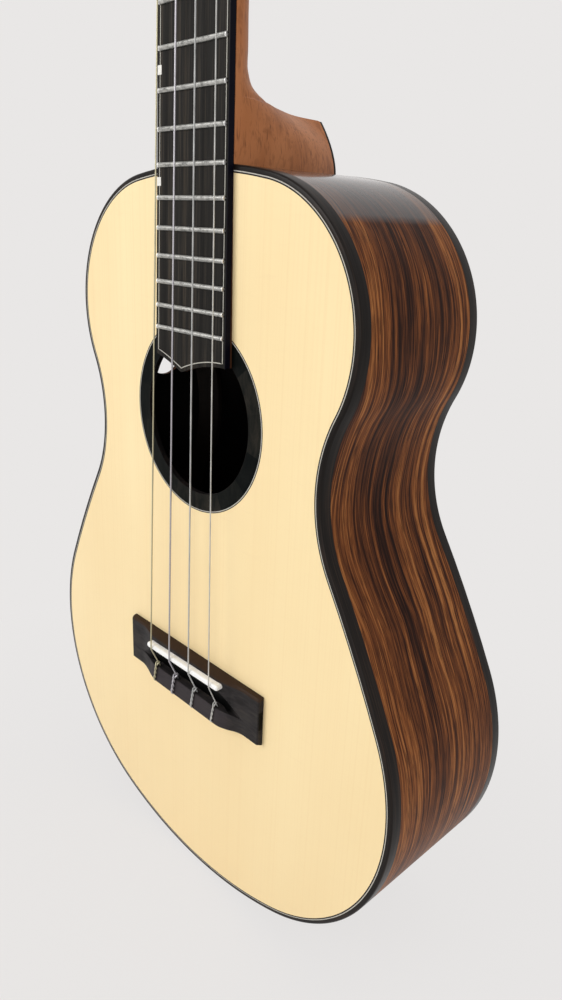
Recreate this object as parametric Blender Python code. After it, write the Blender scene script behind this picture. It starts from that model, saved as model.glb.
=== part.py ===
"""Baritone ukulele, upright: +Z runs up the neck, the front faces -Y and the treble side is +X.

The origin is the middle of the nut's front edge, in the plane of the soundboard's face. Sizes are
in metres. An inset is a distance in from the body's outer edge, and a depth is a Y coordinate.
"""

import math

import bmesh
import bpy
from mathutils import Matrix, Vector

# Clearance between pieces that touch on the real instrument
GAP = 0.0003

# Scale
SCALE_LENGTH = 0.508
FRET_COUNT = 20
JOINT_FRET = 14
JOINT_RISE = 0.0007

# Body outline: tangent arcs from the top centre round the treble side, as radius and turn in
# degrees. The last arc, round the tail, closes the outline on the centre line.
TOP_RADIUS = 0.255
TOP_TURN = 9.5
UPPER_BOUT_RADIUS = 0.0594
UPPER_BOUT_TURN = 108.0
WAIST_RADIUS = 0.0650
WAIST_TURN = 58.5
FLANK_RADIUS = 0.6200
FLANK_TURN = 6.0
LOWER_BOUT_RADIUS = 0.0984
LOWER_BOUT_TURN = 94.5
TOP_STEPS = 3
TAIL_STEPS = 4
DEGREES_PER_STEP = 4.5

# Body depth, walls and edges
DEPTH_AT_JOINT = 0.0720
DEPTH_AT_TAIL = 0.0840
PLATE_THICKNESS = 0.0025
SIDE_THICKNESS = 0.0020
BINDING_HEIGHT = 0.0060
EDGE_ROUNDING = 0.0010
PURFLING_WIDTH = 0.0014
LINING_WIDTH = 0.0060
LINING_HEIGHT = 0.0120
LINING_LIP = 0.0025
BLOCK_THICKNESS = 0.0220
BLOCK_REACH = 2

# Soundhole, rosette and side port
HOLE_CENTRE_FROM_SADDLE = 0.1223
HOLE_RADIUS = 0.0355
ROSETTE_WIDTH = 0.0082
ROSETTE_THICKNESS = 0.0012
HOLE_STEPS = 72
PORT_FROM_SADDLE = 0.1450
PORT_DEPTH = 0.0400
PORT_HALF_LENGTH = 0.0200
PORT_HALF_WIDTH = 0.0150
PORT_STEPS = 28

# Braces
BRACE_WIDTH = 0.0060
BRACE_HEIGHT = 0.0110
LOWER_BRACE_FROM_SADDLE = 0.0680
BAR_WIDTH = 0.0050
BAR_HEIGHT = 0.0070
BAR_SPACING = 0.0900
BAR_LENGTH = 0.1300
BAR_TAPER = 0.0150
BRIDGE_PLATE_LENGTH = 0.0800
BRIDGE_PLATE_WIDTH = 0.0400
BRIDGE_PLATE_THICKNESS = 0.0020
BACK_BRACE_WIDTH = 0.0080
BACK_BRACE_HEIGHT = 0.0130
UPPER_BACK_BRACE_FROM_SADDLE = 0.1550
LOWER_BACK_BRACE_FROM_SADDLE = -0.0100

# Fretboard. It tips back from the soundboard's plane, and a wedge below its end takes that up.
BOARD_THICKNESS = 0.0026
BOARD_TILT = 0.012
BOARD_HALF_AT_NUT = 0.0189
BOARD_HALF_AT_END = 0.0242
BOARD_END_FROM_SADDLE = 0.1480
BOARD_TIP_DROP = 0.0060
BOARD_TIP_OFFSET = -0.0055
BOARD_END_STEPS = 9
BOARD_BASS_STEPS = 4

# Frets
FRET_EDGE = 0.0013
FRET_WIDTH = 0.0020
FRET_HEIGHT = 0.0009
TANG_WIDTH = 0.0006
TANG_DEPTH = 0.0011
CROWN_STEPS = 6

# Neck and heel. A rounding gives the powers of the cosine across and of the sine backwards: a pair
# of ones is an ellipse, 2 and 1 a parabola with an edge at its rear, and less than one is squarer.
SHAFT_DEPTH_AT_NUT = 0.0148
SHAFT_DEPTH_AT_HEEL = 0.0157
SHAFT_ROUNDING = (0.98, 0.98)
HEEL_ROUNDING = (2.0, 1.0)
HEAD_ROUNDING = (0.42, 0.42)
HEEL_HEIGHT = 0.0208
HEEL_SUNK = 0.15
SWEEP_START = 0.0009
SWEEP_REACH = 0.0260
SWEEP_HEIGHT = 0.0500
SWEEP_POWER = 9
HEEL_CAP_HALF_WIDTH = 0.0100
HEEL_CAP_THICKNESS = 0.0014
RIDGE_HALF = 0.0004
SECTION_STEPS = 10
HEEL_STEPS = 7
SWEEP_STEPS = 9

# Nut, saddle and strings
NUT_THICKNESS = 0.0050
NUT_STRING_HEIGHT = 0.0022
NUT_RISE = 0.0006
NUT_SPACING = 0.0092
STRING_HEIGHT_AT_SADDLE = 0.0102
SADDLE_SPACING = 0.0156
SADDLE_LENGTH = 0.0570
SADDLE_THICKNESS = 0.0030
SADDLE_SETBACK = 0.0022
SADDLE_SLANT = 0.0014
SADDLE_TOP_STEPS = 6
STRING_RADII = (0.00029, 0.00037, 0.00044, 0.00036)

# Bridge
BRIDGE_LENGTH = 0.1020
BRIDGE_CORE_LENGTH = 0.0480
BRIDGE_BLEND_LENGTH = 0.0180
BRIDGE_BLEND_STEPS = 8
BRIDGE_FRONT = 0.0022
BRIDGE_CORE_REAR = 0.0278
BRIDGE_WING_REAR = 0.0238
BRIDGE_HEIGHT = 0.0064
BRIDGE_WING_HEIGHT = 0.0034
TIE_BLOCK_FRONT = 0.0150
TIE_BLOCK_REAR = 0.0245
TIE_BLOCK_HEIGHT = 0.0066
CHANNEL_FLOOR = 0.0024
SLOT_FLOOR = 0.0024
TIE_HOLE_HEIGHT = 0.0043
TIE_HOLE_RADIUS = 0.0011
TIE_HOLE_STEPS = 10

# Headstock, in its own frame: its face is the plane Y = 0, which tips back from the nut
HEAD_TILT = 12.0
HEAD_LENGTH = 0.1320
HEAD_THICKNESS = 0.0130
HEAD_SHOULDER_HALF = 0.0295
HEAD_TOP_HALF = 0.0325
HEAD_SHOULDER_START = 0.0040
HEAD_SHOULDER_END = 0.0220
HEAD_CORNER_RADIUS = 0.0120
HEAD_CORNER_STEPS = 6
HEAD_SHOULDER_STEPS = 8

# Tuners: a worm on each key's shaft turns the gear on the string post
POST_X = 0.0185
FIRST_POST_Z = 0.0440
POST_PITCH = 0.0480
POST_RADIUS = 0.0030
POST_RISE = 0.0140
GEAR_TEETH = 14
GEAR_RADIUS = 0.0060
TOOTH_HEIGHT = 0.0012
GEAR_THICKNESS = 0.0020
WORM_SHAFT_RADIUS = 0.0017
THREAD_HEIGHT = 0.0012
THREAD_TURNS = 3
THREAD_STEPS = 14
TUNER_PLATE_THICKNESS = 0.0012
TUNER_PLATE_HALF_WIDTH = 0.0078
TUNER_PLATE_TOP = 0.0090
EAR_THICKNESS = 0.0018
EAR_HALF_WIDTH = 0.0034
BUTTON_LENGTH = 0.0160
BUTTON_WIDTH = 0.0130
BUTTON_THICKNESS = 0.0070
BUTTON_CLEARANCE = 0.0030
BUTTON_STEPS = 16
POST_STEPS = 16
COIL_TURNS = 2.25
COIL_STEPS = 10

FINISHES = {
    "spruce": ((0.87, 0.69, 0.42), 0.30, 0.0),
    "rosewood": ((0.11, 0.045, 0.022), 0.22, 0.0),
    "dark_wood": ((0.025, 0.018, 0.015), 0.35, 0.0),
    "mahogany": ((0.33, 0.12, 0.05), 0.38, 0.0),
    "brace_wood": ((0.75, 0.58, 0.36), 0.6, 0.0),
    "bone": ((0.90, 0.88, 0.80), 0.35, 0.0),
    "nickel": ((0.70, 0.70, 0.68), 0.25, 1.0),
    "nylon": ((0.75, 0.75, 0.72), 0.30, 0.0),
}


def fret_z(number):
    """Height of a fret. Fret 0 is the nut."""
    return -SCALE_LENGTH * (1 - 2 ** (-number / 12))


SADDLE_Z = -SCALE_LENGTH
JOINT_Z = fret_z(JOINT_FRET) + JOINT_RISE
HOLE_Z = SADDLE_Z + HOLE_CENTRE_FROM_SADDLE
PORT_Z = SADDLE_Z + PORT_FROM_SADDLE
BOARD_END_Z = SADDLE_Z + BOARD_END_FROM_SADDLE
ROSETTE_RADIUS = HOLE_RADIUS + ROSETTE_WIDTH
LINING_INSET = SIDE_THICKNESS + GAP
BLOCK_INSET = LINING_INSET + LINING_WIDTH + GAP


def outline_arcs():
    """The outline's arcs as (radius, turn in radians, steps). The waist bends the other way."""
    turns = [
        (TOP_RADIUS, TOP_TURN, TOP_STEPS),
        (UPPER_BOUT_RADIUS, UPPER_BOUT_TURN, None),
        (-WAIST_RADIUS, -WAIST_TURN, None),
        (FLANK_RADIUS, FLANK_TURN, None),
        (LOWER_BOUT_RADIUS, LOWER_BOUT_TURN, None),
    ]
    arcs = []
    for radius, turn, steps in turns:
        steps = steps or math.ceil(abs(turn) / DEGREES_PER_STEP)
        arcs.append((radius, math.radians(turn), steps))
    return arcs


def half_outline(inset):
    """(x, z) points from the top centre to the tail centre, this far inside the body's edge."""
    x, z, heading = 0.0, JOINT_Z, 0.0
    points = [(0.0, JOINT_Z - inset)]
    arcs = outline_arcs()
    for index in range(len(arcs) + 1):
        if index < len(arcs):
            radius, turn, steps = arcs[index]
        else:
            radius, turn, steps = x / math.sin(heading), math.pi - heading, TAIL_STEPS
        centre_x = x - radius * math.sin(heading)
        centre_z = z - radius * math.cos(heading)
        for step in range(1, steps + 1):
            angle = heading + turn * step / steps
            point_x = centre_x + (radius - inset) * math.sin(angle)
            points.append((point_x, centre_z + (radius - inset) * math.cos(angle)))
        heading += turn
        x = centre_x + radius * math.sin(heading)
        z = centre_z + radius * math.cos(heading)
    points[-1] = (0.0, points[-1][1])
    return points


def full_outline(inset):
    """The closed outline: down the treble side to the tail, then up the bass side."""
    half = half_outline(inset)
    return half + [(-x, z) for x, z in reversed(half[1:-1])]


TAIL_Z = half_outline(0)[-1][1]
TAIL_INDEX = len(half_outline(0)) - 1


def half_width(z, inset):
    """Half the body's width at height z, this far inside its edge."""
    half = half_outline(inset)
    for (x_high, z_high), (x_low, z_low) in zip(half, half[1:]):
        if z_high >= z >= z_low:
            return x_high + (x_low - x_high) * (z_high - z) / max(z_high - z_low, 1e-9)
    return 0.0


def back_depth(z):
    """Depth of the back's outer face, which tapers from the tail to the neck."""
    share = (JOINT_Z - z) / (JOINT_Z - TAIL_Z)
    return DEPTH_AT_JOINT + (DEPTH_AT_TAIL - DEPTH_AT_JOINT) * share


def from_front(distance):
    """A depth measured back from the soundboard's face."""
    return lambda z: distance


def from_back(distance):
    """A depth measured forward from the back's outer face."""
    return lambda z: back_depth(z) - distance


def board_top(z):
    """Depth of the fretboard's playing face."""
    return -GAP - BOARD_THICKNESS + BOARD_TILT * (z - JOINT_Z)


def board_half(z):
    """Half the fretboard's width at height z."""
    share = z / BOARD_END_Z
    return BOARD_HALF_AT_NUT + (BOARD_HALF_AT_END - BOARD_HALF_AT_NUT) * share


def neck_front(z):
    """Depth of the neck's flat face, under the fretboard."""
    return board_top(z) + BOARD_THICKNESS + GAP


def string_x(number, z):
    """Where a string lies across the instrument. String 1 is on the treble side."""
    share = -z / SCALE_LENGTH
    spacing = NUT_SPACING + (SADDLE_SPACING - NUT_SPACING) * share
    return (2.5 - number) * spacing


def string_y(z):
    """Depth of every string's centre between the nut and the saddle."""
    at_nut = board_top(0) - NUT_STRING_HEIGHT
    return at_nut + (-STRING_HEIGHT_AT_SADDLE - at_nut) * -z / SCALE_LENGTH


def finish_object(obj, finish, smooth_angle):
    """Gives an object a material of its own, and shades its round faces smooth."""
    colour, roughness, metallic = FINISHES[finish]
    material = bpy.data.materials.new(f"{obj.name}_{finish}")
    material.use_nodes = True
    shader = material.node_tree.nodes["Principled BSDF"]
    shader.inputs["Base Color"].default_value = (*colour, 1.0)
    shader.inputs["Roughness"].default_value = roughness
    shader.inputs["Metallic"].default_value = metallic
    obj.data.materials.append(material)
    if smooth_angle and obj.type == "MESH":
        obj.data.shade_smooth()
        obj.data.set_sharp_from_angle(angle=math.radians(smooth_angle))


def add_mesh(name, vertices, faces, finish, smooth_angle=30.0):
    """One object from plain vertices and faces, with its faces turned outwards."""
    mesh = bpy.data.meshes.new(name)
    build = bmesh.new()
    made = [build.verts.new(vertex) for vertex in vertices]
    for face in faces:
        build.faces.new([made[index] for index in face])
    bmesh.ops.recalc_face_normals(build, faces=build.faces)
    build.to_mesh(mesh)
    build.free()
    obj = bpy.data.objects.new(name, mesh)
    bpy.context.collection.objects.link(obj)
    finish_object(obj, finish, smooth_angle)
    return obj


def add_helper(name, vertices, faces):
    """A cutter or an addition for a Boolean, which isn't part of the result."""
    obj = add_mesh(name, vertices, faces, "brace_wood", None)
    obj.hide_render = True
    obj.display_type = "WIRE"
    return obj


def combine(target, helper, operation):
    """A Boolean between an object and a helper."""
    modifier = target.modifiers.new(helper.name, "BOOLEAN")
    modifier.operation = operation
    modifier.solver = "EXACT"
    modifier.object = helper


def ring_faces(ring_count, ring_size, closed):
    """Quads between rings of vertices, with end faces where the run of rings is open."""
    faces = []
    last = ring_count if closed else ring_count - 1
    for ring in range(last):
        here = ring * ring_size
        there = (ring + 1) % ring_count * ring_size
        for corner in range(ring_size):
            turn = (corner + 1) % ring_size
            faces.append((here + corner, here + turn, there + turn, there + corner))
    if not closed:
        faces.append(tuple(range(ring_size)))
        faces.append(tuple((ring_count - 1) * ring_size + corner for corner in range(ring_size)))
    return faces


def loft_data(rings, closed=False):
    """Vertices and faces of a skin over rings of points."""
    vertices = [point for ring in rings for point in ring]
    return vertices, ring_faces(len(rings), len(rings[0]), closed)


def box_data(low, high):
    """Vertices and faces of a box between two corners."""
    rings = []
    for x in (low[0], high[0]):
        rings.append([(x, low[1], low[2]), (x, high[1], low[2]), (x, high[1], high[2]), (x, low[1], high[2])])
    return loft_data(rings)


def merged(parts):
    """Several sets of vertices and faces as one."""
    vertices, faces = [], []
    for part_vertices, part_faces in parts:
        start = len(vertices)
        vertices += part_vertices
        faces += [tuple(start + index for index in face) for face in part_faces]
    return vertices, faces


def cylinder_data(start, axis, length, radius, steps):
    """A round bar from a start point along one of the coordinate axes."""
    rings = []
    for distance in (0.0, length):
        ring = []
        for step in range(steps):
            angle = 2 * math.pi * step / steps
            across = [radius * math.cos(angle), radius * math.sin(angle)]
            across.insert(axis, distance)
            ring.append(tuple(start[k] + across[k] for k in range(3)))
        rings.append(ring)
    return loft_data(rings)


def turned_data(profile, steps):
    """A solid turned about the local Y axis from (radius, y) points, one end to the other."""
    rings = []
    for radius, y in profile:
        ring = []
        for step in range(steps):
            angle = 2 * math.pi * step / steps
            ring.append((radius * math.cos(angle), y, radius * math.sin(angle)))
        rings.append(ring)
    return loft_data(rings)


def edge_strip(name, corners, finish, span=None, centre_x=0.0):
    """A strip that follows the body's edge. Corners are (inset, depth rule) pairs round its section.

    A span of (first, last) outline steps makes an open strip, which ends at centre_x on the centre line.
    """
    outlines = [full_outline(inset) for inset, _ in corners]
    count = len(outlines[0])
    steps = range(count) if span is None else range(span[0], span[1] + 1)
    rings = []
    for step in steps:
        ring = []
        for outline, (_, depth) in zip(outlines, corners):
            x, z = outline[step % count]
            ring.append((centre_x if x == 0 else x, depth(z), z))
        rings.append(ring)
    vertices, faces = loft_data(rings, closed=span is None)
    return add_mesh(name, vertices, faces, finish)


def plate_data(inset, front, rear):
    """A flat plate of the body's shape between two depth rules."""
    outline = full_outline(inset)
    rings = [[(x, depth(z), z) for x, z in outline] for depth in (front, rear)]
    return loft_data(rings)


def disc_data(radius, front, rear):
    """A round plate or cutter on the soundhole's axis."""
    vertices, faces = cylinder_data((0, 0, 0), 1, rear - front, radius, HOLE_STEPS)
    return [(x, y + front, z + HOLE_Z) for x, y, z in vertices], faces


def make_soundboard():
    plate_inset = SIDE_THICKNESS + PURFLING_WIDTH + GAP
    board = add_mesh(
        "soundboard", *plate_data(plate_inset, from_front(0), from_front(PLATE_THICKNESS)), "spruce"
    )
    recess = add_helper(
        "rosette_recess", *disc_data(ROSETTE_RADIUS + GAP, -PLATE_THICKNESS, ROSETTE_THICKNESS + GAP)
    )
    hole = add_helper("soundhole", *disc_data(HOLE_RADIUS, -PLATE_THICKNESS, 2 * PLATE_THICKNESS))
    combine(board, recess, "DIFFERENCE")
    combine(board, hole, "DIFFERENCE")


def make_rosette():
    rings = []
    for step in range(HOLE_STEPS):
        angle = 2 * math.pi * step / HOLE_STEPS
        ring = []
        for radius, y in (
            (HOLE_RADIUS, 0),
            (ROSETTE_RADIUS, 0),
            (ROSETTE_RADIUS, ROSETTE_THICKNESS),
            (HOLE_RADIUS, ROSETTE_THICKNESS),
        ):
            ring.append((radius * math.cos(angle), y, HOLE_Z + radius * math.sin(angle)))
        rings.append(ring)
    add_mesh("rosette_ring", *loft_data(rings, closed=True), "dark_wood")


def make_body_edges():
    ledge = SIDE_THICKNESS + PURFLING_WIDTH
    top_corners = [
        (0, from_front(EDGE_ROUNDING)),
        (EDGE_ROUNDING, from_front(0)),
        (ledge, from_front(0)),
        (ledge, from_front(PLATE_THICKNESS)),
        (SIDE_THICKNESS, from_front(PLATE_THICKNESS)),
        (SIDE_THICKNESS, from_front(BINDING_HEIGHT)),
        (0, from_front(BINDING_HEIGHT)),
    ]
    edge_strip("top_binding", top_corners, "dark_wood")
    back_corners = [
        (0, from_back(EDGE_ROUNDING)),
        (EDGE_ROUNDING, from_back(0)),
        (SIDE_THICKNESS, from_back(0)),
        (SIDE_THICKNESS, from_back(BINDING_HEIGHT)),
        (0, from_back(BINDING_HEIGHT)),
    ]
    edge_strip("back_binding", back_corners, "dark_wood")


def make_sides():
    corners = [
        (0, from_front(BINDING_HEIGHT + GAP)),
        (SIDE_THICKNESS, from_front(BINDING_HEIGHT + GAP)),
        (SIDE_THICKNESS, from_back(BINDING_HEIGHT + GAP)),
        (0, from_back(BINDING_HEIGHT + GAP)),
    ]
    edge_strip("treble_side", corners, "rosewood", (0, TAIL_INDEX), GAP / 2)
    bass = edge_strip("bass_side", corners, "rosewood", (TAIL_INDEX, 2 * TAIL_INDEX), -GAP / 2)
    reach = half_width(PORT_Z, 0)
    rings = []
    for x in (-reach - 5 * SIDE_THICKNESS, -reach + 10 * SIDE_THICKNESS):
        ring = []
        for step in range(PORT_STEPS):
            angle = 2 * math.pi * step / PORT_STEPS
            y = PORT_DEPTH + PORT_HALF_WIDTH * math.cos(angle)
            ring.append((x, y, PORT_Z + PORT_HALF_LENGTH * math.sin(angle)))
        rings.append(ring)
    combine(bass, add_helper("sound_port", *loft_data(rings)), "DIFFERENCE")


def make_back_plate():
    data = plate_data(SIDE_THICKNESS + GAP, from_back(PLATE_THICKNESS), from_back(0))
    add_mesh("back_plate", *data, "rosewood")


def make_linings():
    inner = LINING_INSET + LINING_WIDTH
    for name, depth_from in (("top_lining", from_front), ("back_lining", from_back)):
        start = PLATE_THICKNESS + GAP
        corners = [
            (LINING_INSET, depth_from(start)),
            (inner, depth_from(start)),
            (inner, depth_from(start + LINING_LIP)),
            (LINING_INSET, depth_from(start + LINING_HEIGHT)),
        ]
        edge_strip(name, corners, "brace_wood")


def make_blocks():
    """The end blocks reach from plate to plate, and from the side inwards between the linings."""
    inner = BLOCK_INSET + BLOCK_THICKNESS
    plate = PLATE_THICKNESS + GAP
    lining_end = plate + LINING_HEIGHT + GAP
    corners = [
        (BLOCK_INSET, from_front(plate)),
        (BLOCK_INSET, from_front(lining_end)),
        (LINING_INSET, from_front(lining_end)),
        (LINING_INSET, from_back(lining_end)),
        (BLOCK_INSET, from_back(lining_end)),
        (BLOCK_INSET, from_back(plate)),
        (inner, from_back(plate)),
        (inner, from_front(plate)),
    ]
    edge_strip("neck_block", corners, "mahogany", (-BLOCK_REACH, BLOCK_REACH))
    tail_span = (TAIL_INDEX - BLOCK_REACH, TAIL_INDEX + BLOCK_REACH)
    edge_strip("tail_block", corners, "mahogany", tail_span)


def brace_reach(z, half_brace):
    """Half the length of a brace that ends at the linings."""
    inset = SIDE_THICKNESS + LINING_WIDTH + 3 * GAP
    return min(half_width(z - half_brace, inset), half_width(z + half_brace, inset))


def make_cross_brace(name, z, width, height, depth_from):
    """A brace from side to side, glued to the soundboard or to the back."""
    reach = brace_reach(z, width / 2)
    foot = PLATE_THICKNESS + GAP
    low_end = foot + LINING_LIP
    stations = (
        (-reach, low_end),
        (-reach + 3 * height, foot + height),
        (reach - 3 * height, foot + height),
        (reach, low_end),
    )
    rings = []
    for x, top in stations:
        ring = []
        for side, level in ((-1, foot), (1, foot), (1, top), (-1, top)):
            height_z = z + side * width / 2
            ring.append((x, depth_from(level)(height_z), height_z))
        rings.append(ring)
    add_mesh(name, *loft_data(rings), "brace_wood")


def make_cross_braces():
    """Two on the soundboard, the upper one midway from neck block to soundhole, and two on the back."""
    block_end = JOINT_Z - BLOCK_INSET - BLOCK_THICKNESS
    hole_top = HOLE_Z + HOLE_RADIUS
    lower = SADDLE_Z + LOWER_BRACE_FROM_SADDLE
    make_cross_brace("upper_brace", (block_end + hole_top) / 2, BRACE_WIDTH, BRACE_HEIGHT, from_front)
    make_cross_brace("lower_brace", lower, BRACE_WIDTH, BRACE_HEIGHT, from_front)
    for name, from_saddle in (
        ("upper_back_brace", UPPER_BACK_BRACE_FROM_SADDLE),
        ("lower_back_brace", LOWER_BACK_BRACE_FROM_SADDLE),
    ):
        z = SADDLE_Z + from_saddle
        make_cross_brace(name, z, BACK_BRACE_WIDTH, BACK_BRACE_HEIGHT, from_back)


def make_bars():
    """Two bars that run lengthwise below the soundhole, tapered to nothing at both ends."""
    foot = PLATE_THICKNESS + GAP
    top_end = SADDLE_Z + LOWER_BRACE_FROM_SADDLE - BRACE_WIDTH / 2 - GAP
    for name, side in (("bass_bar", -1), ("treble_bar", 1)):
        x = side * BAR_SPACING / 2
        rings = []
        for z, height in (
            (top_end, BAR_HEIGHT / 3),
            (top_end - BAR_TAPER, BAR_HEIGHT),
            (top_end - BAR_LENGTH + BAR_TAPER, BAR_HEIGHT),
            (top_end - BAR_LENGTH, BAR_HEIGHT / 3),
        ):
            low, high = x - BAR_WIDTH / 2, x + BAR_WIDTH / 2
            rings.append([(low, foot, z), (high, foot, z), (high, foot + height, z), (low, foot + height, z)])
        add_mesh(name, *loft_data(rings), "brace_wood")


def make_bridge_plate():
    middle = SADDLE_Z - (TIE_BLOCK_FRONT + SADDLE_SETBACK) / 2
    foot = PLATE_THICKNESS + GAP
    low = (-BRIDGE_PLATE_LENGTH / 2, foot, middle - BRIDGE_PLATE_WIDTH / 2)
    high = (BRIDGE_PLATE_LENGTH / 2, foot + BRIDGE_PLATE_THICKNESS, middle + BRIDGE_PLATE_WIDTH / 2)
    add_mesh("bridge_plate", *box_data(low, high), "brace_wood")


def shaft_depth(z):
    """How far the neck's round back stands behind its flat face."""
    return SHAFT_DEPTH_AT_NUT + (SHAFT_DEPTH_AT_HEEL - SHAFT_DEPTH_AT_NUT) * z / JOINT_Z


def blend(first, second, share):
    """A pair of numbers part of the way between two pairs."""
    return tuple(low + (high - low) * share for low, high in zip(first, second))


def neck_section(z, depth, rounding, ridge_half=RIDGE_HALF, half=None):
    """One ring of the neck: flat in front, round behind, with a narrow flat along its rearmost line."""
    front = neck_front(min(z, 0.0))
    half = half or board_half(min(z, 0.0))
    right = []
    for step in range(SECTION_STEPS + 1):
        angle = math.pi / 2 * step / SECTION_STEPS
        across = max(math.cos(angle), 0.0) ** rounding[0]
        back = math.sin(angle) ** rounding[1]
        right.append((ridge_half + (half - ridge_half) * across, front + depth * back, z))
    return right + [(-x, y, z) for x, y, z in reversed(right)]


def heel_cap_half(z):
    """Half the width of the heel's rear face, a rounded point that widens towards the body."""
    share = min(max((z - JOINT_Z) / HEEL_HEIGHT, 0.0), 1.0)
    return HEEL_CAP_HALF_WIDTH * math.sqrt(1 - share**2)


def heel_shares():
    """Shares of the heel's height that follow its rounded point evenly."""
    return [math.sin(math.pi / 2 * step / (HEEL_STEPS - 1)) for step in range(HEEL_STEPS)]


def heel_rear(z):
    """Depth of the heel's rear face, under its cap."""
    return back_depth(z) - HEEL_CAP_THICKNESS - GAP


def neck_sections():
    """Rings from below the body joint, up the heel and the shaft, into the headstock."""
    sections = []
    for share in [-HEEL_SUNK] + heel_shares():
        z = JOINT_Z + HEEL_HEIGHT * share
        ridge_half = heel_cap_half(z) + RIDGE_HALF
        sections.append(neck_section(z, heel_rear(z) - neck_front(z), HEEL_ROUNDING, ridge_half))
    for step in range(SWEEP_STEPS + 1):
        share = (step / SWEEP_STEPS) ** 2
        z = JOINT_Z + HEEL_HEIGHT + SWEEP_START + (SWEEP_HEIGHT - SWEEP_START) * share
        depth = shaft_depth(z) + SWEEP_REACH * (1 - share) ** SWEEP_POWER
        rounding = blend(HEEL_ROUNDING, SHAFT_ROUNDING, math.sqrt(step / SWEEP_STEPS))
        sections.append(neck_section(z, depth, rounding))
    sweep_top = JOINT_Z + HEEL_HEIGHT + SWEEP_HEIGHT
    for share in (0.66, 0.33, 0.1):
        z = sweep_top * share
        sections.append(neck_section(z, shaft_depth(z), SHAFT_ROUNDING))
    head_start = NUT_THICKNESS + GAP
    flush = HEAD_THICKNESS + GAP
    squarer = blend(SHAFT_ROUNDING, HEAD_ROUNDING, 0.5)
    sections.append(neck_section(-HEAD_THICKNESS, (shaft_depth(0) + flush) / 2, squarer))
    sections.append(neck_section(0.0, flush, HEAD_ROUNDING))
    sections.append(neck_section(head_start, HEAD_THICKNESS - GAP, HEAD_ROUNDING))
    inside = 4 * RIDGE_HALF
    half = board_half(0) - RIDGE_HALF
    top = neck_section(head_start + inside, HEAD_THICKNESS / 2, HEAD_ROUNDING, RIDGE_HALF, half)
    sections.append([(x, y + inside, z) for x, y, z in top])
    return sections


def add_head_frame():
    """The frame that carries the headstock's pieces. Its Y axis runs back through the headstock."""
    frame = bpy.data.objects.new("headstock_frame", None)
    frame.location = (0, neck_front(0), NUT_THICKNESS + GAP)
    frame.rotation_euler = (math.radians(-HEAD_TILT), 0, 0)
    bpy.context.collection.objects.link(frame)
    return frame


def head_outline():
    """(x, z) points of the headstock, from its foot up the treble side to the top centre."""
    points = [(BOARD_HALF_AT_NUT, 0.0), (BOARD_HALF_AT_NUT, HEAD_SHOULDER_START)]
    for step in range(1, HEAD_SHOULDER_STEPS + 1):
        share = step / HEAD_SHOULDER_STEPS
        ease = (1 - math.cos(math.pi * share)) / 2
        x = BOARD_HALF_AT_NUT + (HEAD_SHOULDER_HALF - BOARD_HALF_AT_NUT) * ease
        points.append((x, HEAD_SHOULDER_START + (HEAD_SHOULDER_END - HEAD_SHOULDER_START) * share))
    for step in range(HEAD_CORNER_STEPS + 1):
        angle = math.pi / 2 * step / HEAD_CORNER_STEPS
        x = HEAD_TOP_HALF - HEAD_CORNER_RADIUS * (1 - math.cos(angle))
        points.append((x, HEAD_LENGTH - HEAD_CORNER_RADIUS * (1 - math.sin(angle))))
    crown_half = HEAD_TOP_HALF - HEAD_CORNER_RADIUS
    for share in (0.6, 0.2):
        points.append((crown_half * share, HEAD_LENGTH + HEAD_CORNER_RADIUS * (1 - share) / 6))
    return points


def make_neck(head_frame):
    neck = add_mesh("neck", *loft_data(neck_sections()), "mahogany")
    body_data = plate_data(-GAP, from_front(-HEAD_THICKNESS), from_back(-HEAD_THICKNESS))
    combine(neck, add_helper("body_clearance", *body_data), "DIFFERENCE")
    right = head_outline()
    outline = right + [(-x, z) for x, z in reversed(right)]
    foot_rise = HEAD_THICKNESS * math.tan(math.radians(HEAD_TILT))
    rings = [list(outline), []]
    rings[1] = [(x, z + foot_rise if z == 0 else z) for x, z in outline]
    blank_rings = [[(x, y, z) for x, z in ring] for ring, y in zip(rings, (0, HEAD_THICKNESS))]
    blank = add_helper("headstock_blank", *loft_data(blank_rings))
    blank.parent = head_frame
    combine(neck, blank, "UNION")
    bores = []
    for side in (-1, 1):
        for row in range(2):
            start = (side * POST_X, -HEAD_THICKNESS, FIRST_POST_Z + row * POST_PITCH)
            bores.append(cylinder_data(start, 1, 3 * HEAD_THICKNESS, POST_RADIUS + GAP, POST_STEPS))
    bore_helper = add_helper("post_bores", *merged(bores))
    bore_helper.parent = head_frame
    combine(neck, bore_helper, "DIFFERENCE")


def make_heel_cap():
    """A thin plate over the heel's rear face, in line with the back."""
    heights = [max(JOINT_Z + HEEL_HEIGHT * share, JOINT_Z + GAP) for share in heel_shares()[:-1]]
    right = [(heel_cap_half(z), z) for z in heights]
    loop = right + [(0.0, JOINT_Z + HEEL_HEIGHT)] + [(-x, z) for x, z in reversed(right)]
    rings = []
    for lift in (GAP, GAP + HEEL_CAP_THICKNESS):
        rings.append([(x, heel_rear(z) + lift, z) for x, z in loop])
    cap = add_mesh("heel_cap", *loft_data(rings), "dark_wood")
    combine(cap, bpy.data.objects["body_clearance"], "DIFFERENCE")


def board_end_curve():
    """(x, drop) points of the fretboard's end: it falls to a tip and sweeps up to the treble corner."""
    bass, treble = -BOARD_HALF_AT_END, BOARD_HALF_AT_END
    points = [(bass, 0.0)]
    for step in range(1, BOARD_BASS_STEPS):
        share = step / BOARD_BASS_STEPS
        points.append((bass + (BOARD_TIP_OFFSET - bass) * share, BOARD_TIP_DROP * share**1.25))
    for step in range(BOARD_END_STEPS + 1):
        share = step / BOARD_END_STEPS
        x = BOARD_TIP_OFFSET + (treble - BOARD_TIP_OFFSET) * share
        points.append((x, BOARD_TIP_DROP * (1 - share) ** 2))
    return points


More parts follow.
